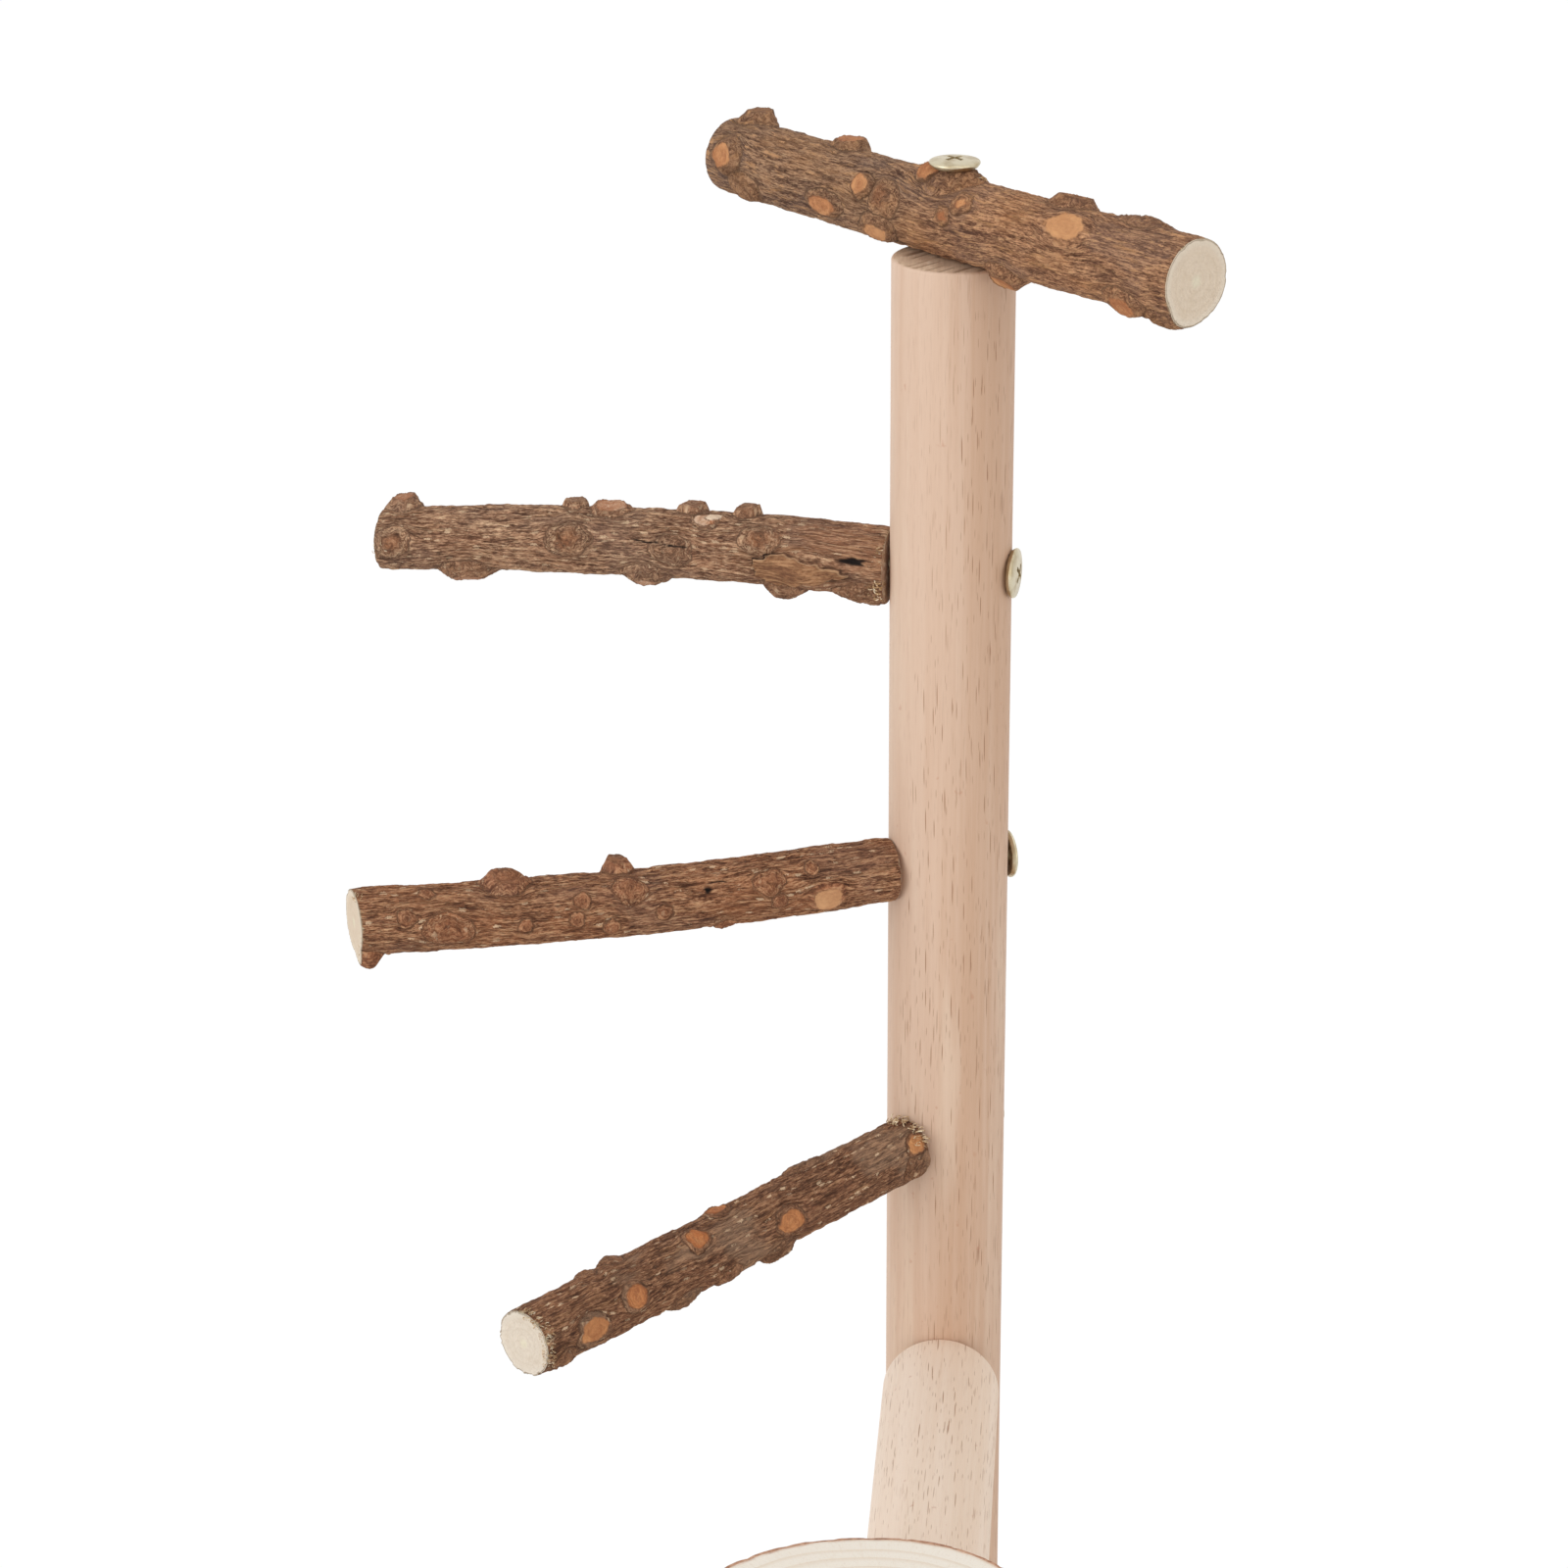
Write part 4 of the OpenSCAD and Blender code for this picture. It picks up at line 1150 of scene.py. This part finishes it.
def torn_fibre_tree():
    """Bent tapering fibres, scattered over a branch within reach of one place."""
    bench, given = geometry_bench("torn_fibres", {
        "Middle": "Vector", "Reach": "Float", "Number per area": "Float", "Length": "Float",
        "Way": "Vector", "Seed": "Int",
    })
    away = bench.vector("DISTANCE", bench.add("GeometryNodeInputPosition"), given.also("Middle"),
                        "Value")
    scattered = bench.add("GeometryNodeDistributePointsOnFaces", None, {
        "Mesh": given, "Selection": away < given.also("Reach"),
        "Density": given.also("Number per area"), "Seed": given.also("Seed"),
    })
    bend = bench.add("GeometryNodeCurveQuadraticBezier", None, {
        "Resolution": 7, "Start": (0, 0, 0), "Middle": (0.0, 0, 0.75), "End": (0.75, 0.1, 0.5),
    })
    along = bench.add("GeometryNodeSplineParameter", output="Factor")
    bend = bench.add("GeometryNodeSetCurveRadius", None, {"Curve": bend, "Radius": 1 - along * 0.85})
    stem = bench.add("GeometryNodeCurvePrimitiveCircle", None, {"Resolution": 5, "Radius": 0.075})
    fibre = bench.add("GeometryNodeCurveToMesh", None, {
        "Curve": bend, "Profile Curve": stem, "Fill Caps": True,
    })
    stray = bench.add("FunctionNodeRandomValue", {"data_type": "FLOAT_VECTOR"}, {
        "Min": (-0.7, -0.7, -0.7), "Max": (0.7, 0.7, 0.7), "Seed": given.also("Seed"),
    })
    way = bench.vector("ADD", bench.vector("ADD", given.also("Way"), stray), scattered.also("Normal"))
    aim = bench.add("FunctionNodeAlignRotationToVector", {"axis": "Z"}, {"Vector": way})
    size = bench.add("FunctionNodeRandomValue", {"data_type": "FLOAT"}, {
        "Min": 0.35, "Max": 1.0, "Seed": given.also("Seed"),
    }, 1)
    return realized(bench, bench.add("GeometryNodeInstanceOnPoints", None, {
        "Points": scattered, "Instance": fibre, "Rotation": aim, "Scale": size * given.also("Length"),
    }), torn_wood)


torn_wood, bench = new_material("torn_wood_fibre")
spread = bench.speckle(bench.place(), 900, 2)
finish(bench.ramp(spread, (0.4, (172, 134, 94)), (0.5, (214, 184, 142)), (0.62, (238, 222, 194))),
       0.85, spread, bump_height=0.02 * mm)
torn_fibres = torn_fibre_tree()
flat_press = 0.08


def fray(branch_piece, body, places, perch=None):
    """Torn fibres on a branch: each place has its middle, reach, number per cm2, length and way.

    On a side perch they lie flat against its root's plane, clear of the post at every turn.
    """
    for number, (middle, reach, per_cm2, length, way) in enumerate(places):
        piece = bpy.data.objects.new(f"{body}_fibres_{number}", branch_piece.data.copy())
        scene.collection.objects.link(piece)
        grow(piece, torn_fibres, {
            "Middle": middle, "Reach": reach, "Number per area": per_cm2 * 1e4, "Length": length,
            "Way": way, "Seed": 7 + number,
        }, torn_wood)
        if perch:
            for vertex in piece.data.vertices:
                spot = perch.inverted() @ vertex.co
                vertex.co = perch @ Vector((max(spot.x, spot.x * flat_press), spot.y, spot.z))
        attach(piece, body)


fray(top_perch, "top_perch", [
    (Vector((6.2 * mm, -4.2 * mm, seat_z - 0.5 * mm)), 1.8 * mm, 45, 2.6 * mm, (0.5, -0.3, 0.2)),
])


# The upper perch: a shorter piece of the same branch, its root sawn flat and butted on the post.
# A screw from the post's far side runs into its end grain, and loosened, it turns on that screw.
perch_start = 17.8 * mm
perch_screw_bite = 26 * mm
perch_screw_len = post_d + 2 * turn_gap + perch_screw_bite
root_peel = 0.6 * mm
upper_shape = dict(length=155 * mm, root_d=20 * mm, tip_d=18.2 * mm, rise=-6.5 * mm, bow=3.3 * mm,
                   side_bow=2 * mm)
upper_knots = [
    (0.962, -16, 0.38, 0.62, 0.56, 0.50, "slant"), (0.962, 83, 0.14, 0.66, 0.52, 0.50, "eye"),
    (0.824, 155, 0.32, 1.05, 0.60, 0.50, "sawn"), (0.616, -18, 0.25, 0.42, 0.50, 0.72, "stub"),
    (0.538, 2, 0.17, 0.70, 0.52, 0.72, "slant"), (0.606, 73, 0.22, 0.76, 0.54, 0.30, "eye"),
    (0.384, -18, 0.25, 0.46, 0.50, 0.72, "stub"), (0.278, -18, 0.27, 0.46, 0.50, 0.72, "stub"),
    (0.236, 55, 0.20, 0.60, 0.46, 0.35, "eye"), (0.462, 145, 0.30, 0.85, 0.60, 0.40, "sawn"),
    (0.405, 84, 0.15, 0.66, 0.46, 0.40, "plain"), (0.150, 104, 0.18, 1.50, 0.60, 0.60, "swell"),
    (0.196, 158, 0.36, 0.70, 0.60, 0.40, "plain"), (0.030, 158, 0.24, 1.20, 0.80, 0.60, "plain"),
    (0.349, 25, 0.045, 0.46, 0.32, 0.84, "sawn"), (0.333, 18, 0.070, 0.34, 0.19, 0.80, "pale"),
]
upper_tones = dict(
    top_tones, root_dark=0.75, far_shade=(1, 1, 1, 1), streaks=0.2,
    bark=((92, 63, 48), (128, 91, 69), (165, 122, 94), (196, 151, 118), (232, 194, 156)),
    warm=(186, 128, 92), warm_share=0.25, cool=(150, 120, 104), cool_share=0.25, chip=(240, 206, 168),
    stub=((112, 80, 60), (168, 124, 92)), cut=((184, 120, 78), (242, 218, 190), (158, 100, 64)),
    root_warm=0.5,
)
upper_cracks = [(0.055, 76, 5 * mm, 1.3 * mm, 1.1 * mm), (0.45, 70, 6 * mm, 0.4 * mm, 0.4 * mm),
                (0.395, 73, 5 * mm, 0.32 * mm, 0.35 * mm)]
upper_flaps = [(9.5 * mm, 37.5 * mm, 101, 26, 1.3 * mm)]
hanging = Vector((0, -0.4, -0.9))


def perch_way(perch):
    """The way that a side perch points, out from the post."""
    return Vector(joints[f"{perch}_perch_turn"]["axis"])


def side_perch(perch, shape, knots, tones, seed, tip_peel, frays, cracks=(), flaps=()):
    """A branch butted on the post with its torn fibres and its screw, all turning together.

    frays gives each place by its station and angle on the branch, then as fray() wants it.
    """
    body, way = f"{perch}_perch", perch_way(perch)
    middle = Vector(joints[f"{body}_turn"]["pos_m"])
    heading = Matrix.Rotation(math.atan2(way.y, way.x), 4, "Z")
    place = Matrix.Translation(middle) @ heading @ Matrix.Translation((perch_start, 0, 0))
    piece = branch(f"{body}_branch", shape, knots, place, 1.0, seed,
                   perch_screw_bite + screw_hole_spare, (root_peel, tip_peel), cracks, flaps)
    piece.data.materials.append(bark_finish(f"{body}_bark", tones))
    fitted(piece, body, body)
    places = []
    for station, angle, *rest in frays:
        radius, turn, swell = bare_r(shape, station), math.radians(angle), math.sin(math.pi * station)
        places.append((place @ Vector((
            shape["length"] * station, shape["side_bow"] * swell + radius * math.sin(turn),
            shape["rise"] * station + shape["bow"] * swell + radius * math.cos(turn),
        )), *rest))
    fray(piece, body, places, place)
    screws(f"{body}_screw", body, middle - way * perch_start, way, perch_screw_len)


side_perch("upper", upper_shape, upper_knots, upper_tones, 31, 0.5 * mm, [
    (0.010, 122, 3.4 * mm, 60, 2.8 * mm, hanging), (0.008, 62, 2.4 * mm, 60, 2.0 * mm, hanging),
    (0.99, 100, 3.5 * mm, 12, 1.2 * mm, perch_way("upper")),
], upper_cracks, upper_flaps)


# The middle perch: another piece of the branch, turned a little towards the front. Its knots are
# thicker, and one thorn stump stands up from it like a cone.
middle_shape = dict(length=161 * mm, root_d=18.4 * mm, tip_d=18.6 * mm, rise=6.3 * mm,
                    bow=-1.7 * mm, side_bow=1.5 * mm)
middle_knots = [
    (0.728, 4, 0.34, 0.80, 0.58, 0.55, "stub"), (0.514, -20, 0.44, 0.54, 0.46, 0.52, "stub"),
    (0.510, 44, 0.22, 0.58, 0.50, 0.35, "eye"), (0.843, 92, 0.16, 0.76, 0.52, 0.50, "eye"),
    (0.920, 68, 0.11, 0.30, 0.28, 0.40, "wart"), (0.253, 61, 0.18, 0.56, 0.42, 0.40, "eye"),
    (0.148, 100, 0.15, 0.68, 0.46, 0.76, "pale"), (0.168, 44, 0.07, 0.24, 0.24, 0.40, "wart"),
    (0.330, 150, 0.12, 0.40, 0.40, 0.30, "plain"), (0.550, 110, 0.15, 0.29, 0.27, 0.40, "wart"),
    (0.985, 156, 0.44, 0.50, 0.46, 0.40, "plain"), (0.707, 94, 0.10, 0.26, 0.24, 0.30, "wart"),
    (0.876, 23, 0.10, 0.26, 0.24, 0.30, "wart"), (0.600, 57, 0.11, 0.28, 0.25, 0.30, "wart"),
    (0.614, 89, 0.11, 0.26, 0.24, 0.30, "wart"), (0.452, 91, 0.06, 0.28, 0.24, 0.30, "wart"),
    (0.235, 97, 0.15, 0.27, 0.24, 0.30, "wart"),
]
middle_tones = dict(
    upper_tones,
    bark=((89, 55, 39), (127, 83, 57), (163, 111, 79), (192, 137, 100), (222, 177, 135)),
    warm=(186, 120, 80), warm_share=0.4, cool=(146, 112, 96), cool_share=0.25, chip_edge=0.86,
    stub=((120, 74, 52), (186, 118, 82)), cut=((190, 122, 80), (216, 164, 118), (160, 102, 66)),
    root_warm=0.0,
)
side_perch("middle", middle_shape, middle_knots, middle_tones, 41, 0.8 * mm, [
    (0.997, angle, 2 * mm, 90, 1.0 * mm, perch_way("middle") * 0.5) for angle in (20, 110, 140)
], [(0.368, 58, 1.7 * mm, 1.1 * mm, 1.0 * mm), (0.345, 48, 4 * mm, 0.35 * mm, 0.4 * mm)])


# The lower perch: turned furthest to the front, so its sawn tip faces the viewer. Its bark is
# darker and greyer in places, its ends are more torn, and its knots are cut nearly flush.
lower_shape = dict(length=161 * mm, root_d=18 * mm, tip_d=19 * mm, rise=-1 * mm, bow=-1.5 * mm,
                   side_bow=-1.5 * mm)
lower_knots = [
    (0.886, 86, 0.06, 0.74, 0.50, 0.84, "sawn"), (0.774, 67, 0.07, 0.54, 0.46, 0.84, "sawn"),
    (0.588, 27, 0.08, 0.52, 0.44, 0.82, "sawn"), (0.492, -14, 0.09, 0.50, 0.40, 0.74, "sawn"),
    (0.373, 74, 0.06, 0.66, 0.50, 0.84, "sawn"), (0.030, 56, 0.07, 0.48, 0.42, 0.84, "sawn"),
    (0.817, -31, 0.13, 0.42, 0.44, 0.50, "wart"), (0.750, -34, 0.16, 0.50, 0.46, 0.55, "plain"),
    (0.255, -34, 0.12, 0.90, 0.56, 0.50, "plain"), (0.385, 143, 0.24, 0.80, 0.56, 0.50, "sawn"),
    (0.520, 132, 0.14, 0.56, 0.50, 0.45, "plain"), (0.630, 143, 0.20, 0.70, 0.56, 0.50, "plain"),
    (0.955, 120, 0.12, 0.50, 0.44, 0.40, "plain"), (0.030, 104, 0.16, 0.70, 0.60, 0.50, "plain"),
]
lower_tones = dict(
    upper_tones,
    bark=((83, 53, 38), (111, 74, 52), (139, 95, 68), (164, 117, 86), (200, 152, 114)),
    warm=(160, 108, 78), warm_share=0.35, cool=(176, 144, 117), cool_share=0.5, chip_edge=0.84,
    cut=((188, 112, 62), (218, 158, 104), (150, 88, 52)), root_warm=0.0,
    end=((232, 218, 200), (216, 198, 174), (238, 227, 211)),
)
lower_way = perch_way("lower")
side_perch("lower", lower_shape, lower_knots, lower_tones, 51, 2.2 * mm, [
    (0.015, -8, 4 * mm, 70, 2.8 * mm, lower_way * 0.5),
    (0.018, 42, 3.5 * mm, 55, 2.6 * mm, lower_way * 0.5),
    *((0.996, angle, 2.3 * mm, 150, 1.3 * mm, lower_way * 0.6) for angle in (10, 34, 58, 82, 106)),
])


# The platform's arm: a shorter length of the same dowel, butted on the post's front by one long
# screw from behind. It is paler than the post, with more flecks.
arm_start = arm_high.y
arm_len = arm_high.y - arm_low.y
arm_d = arm_high.x - arm_low.x
arm_screw_bite = 38 * mm
platform_screw_bite = 26 * mm
platform_low, platform_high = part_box("platform")
platform_place = Vector(joints["platform_turn"]["pos_m"])
arm_place = Matrix.Translation((0, arm_start, arm_z)) @ Matrix.Rotation(math.pi / 2, 4, "X")
arm = dowel("arm_dowel", arm_d, arm_len, arm_place, 9)
drill(arm, [
    ((0, arm_start, arm_z), (0, -1, 0), screw_hole_r, arm_screw_bite + screw_hole_spare),
    (platform_place, (0, 0, -1), screw_hole_r, platform_screw_bite + screw_hole_spare),
])
arm.data.materials.append(beech_finish(
    "arm_beech", arm_d, arm_len, fleck_lean=0.2, fleck_more=0.2, wood=(245, 225, 206),
    warm=(235, 209, 185), fleck=(172, 128, 98), end_wood=(208, 188, 162),
))
fitted(arm, "stand", "platform_arm")
screws("platform_arm_screw", "stand", (0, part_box("platform_arm_screw")[1].y - head_t, arm_z),
       (0, -1, 0), post_d + arm_screw_bite + 0.1 * mm)


# The platform: a thin slice of a log with its reddish bark on, lying on the arm's end. One screw
# down through it holds it, and loosened, it turns on that screw.
platform_d = 109 * mm
platform_middle = Vector((-11.8, -209)) * mm
platform_pith = Vector((-6, -213)) * mm
platform_lobe_shares = [(2, 40, 0.012), (3, 100, 0.010), (5, 20, 0.006), (9, 70, 0.004)]
platform_checks = [(228, 0.35, 1.1), (10, 0.15, 0.6)]
platform_growth_rings = 11
platform_t = platform_high.z - platform_low.z
platform = log_slice("platform_slice", platform_middle, platform_d, platform_lobe_shares,
                     platform_low.z, platform_high.z, platform_pith, platform_checks,
                     sides=300, across=62, seed=6)
platform_top = platform_place + Vector((0, 0, platform_high.z - platform_place.z))
drill(platform, [(platform_top, (0, 0, -1), screw_hole_r, platform_t + bore_over)])
platform.data.materials.append(slice_finish(
    "platform_log_slice", platform_growth_rings, ring_share=0.5, wood=(248, 240, 227),
    late_wood=(229, 209, 184), heart=(233, 216, 194),
    bark_tones=((142, 98, 76), (184, 137, 110), (208, 164, 136), (228, 194, 168)),
))
fitted(platform, "platform", "platform")
screws("platform_screw", "stand", platform_top + Vector((0, 0, turn_gap)), (0, 0, -1),
       platform_t + 2 * turn_gap + platform_screw_bite)


# The lamps: a white room, a large soft lamp to the left in front, and weaker ones to the right
# and above. The floor is a plain white sheet that glows, except in the soft shadow at the base.
room_light = 0.66
# Each lamp has its place, what it is aimed at, its width in metres and its power in watts.
lamps = {
    "key_lamp": ((-2.3, -1.9, 1.3), (0, 0, 0.25), 3.0, 36),
    "fill_lamp": ((2.3, -1.9, 0.9), (0, 0, 0.25), 2.4, 15),
    "top_lamp": ((0.2, -0.3, 2.2), (0, 0, 0.3), 1.6, 5),
}
floor_half = 6.0
floor_gap = 0.3 * mm
shadow_w = 50 * mm
near_glow, far_glow = 0.62, 0.31
under_glow = 0.7

for name, (place, aim, size, power) in lamps.items():
    light = bpy.data.objects.new(name, bpy.data.lights.new(name, "AREA"))
    light.data.shape = "DISK"
    light.data.size = size
    light.data.energy = power
    light.location = place
    light.rotation_euler = (Vector(aim) - Vector(place)).to_track_quat("-Z", "Y").to_euler()
    scene.collection.objects.link(light)

world = bpy.data.worlds.new("white_room")
world.use_nodes = True
world.node_tree.nodes.clear()
room = Bench(world.node_tree)
path = room.add("ShaderNodeLightPath", output="Is Camera Ray")
unlit = path.worked("MAXIMUM", path.also("Is Glossy Ray"))
strength = unlit * (1 - room_light) + room_light
background = room.add("ShaderNodeBackground", None, {"Color": (1, 1, 1, 1), "Strength": strength})
room.add("ShaderNodeOutputWorld", None, {"Surface": background})
scene.world = world

floor_mesh = bpy.data.meshes.new("floor")
floor_mesh.from_pydata(
    [(x * floor_half, y * floor_half, -floor_gap) for x, y in ((-1, -1), (1, -1), (1, 1), (-1, 1))],
    [], [(0, 1, 2, 3)],
)
floor = bpy.data.objects.new("floor", floor_mesh)
scene.collection.objects.link(floor)
floor_paint, bench = new_material("floor_paint")
paint = bench.add("ShaderNodeBsdfDiffuse", None, {"Color": (0.86, 0.86, 0.86, 1)})
glow = bench.add("ShaderNodeEmission", None, {"Color": (1, 1, 1, 1), "Strength": 1.04})
path = bench.add("ShaderNodeLightPath", output="Is Camera Ray")
looked_at = path.worked("MAXIMUM", path.also("Is Glossy Ray"))
right_under = path.also("Ray Length") < 4 * floor_gap
away = bench.vector("DISTANCE", bench.place(), (*base_middle, -floor_gap), "Value")
shadow_end = bench.between(away, base_d / 2, base_d / 2 + shadow_w)
share = looked_at * (shadow_end * far_glow + near_glow)
share = share.worked("MAXIMUM", right_under * under_glow)
white = bench.add("ShaderNodeMixShader", None, {0: share, 1: paint, 2: glow})
from_below = bench.add("ShaderNodeNewGeometry", output="Backfacing")
clear = bench.add("ShaderNodeBsdfTransparent")
sheet = bench.add("ShaderNodeMixShader", None, {0: from_below, 1: white, 2: clear})
bench.add("ShaderNodeOutputMaterial", None, {"Surface": sheet})
floor_mesh.materials.append(floor_paint)
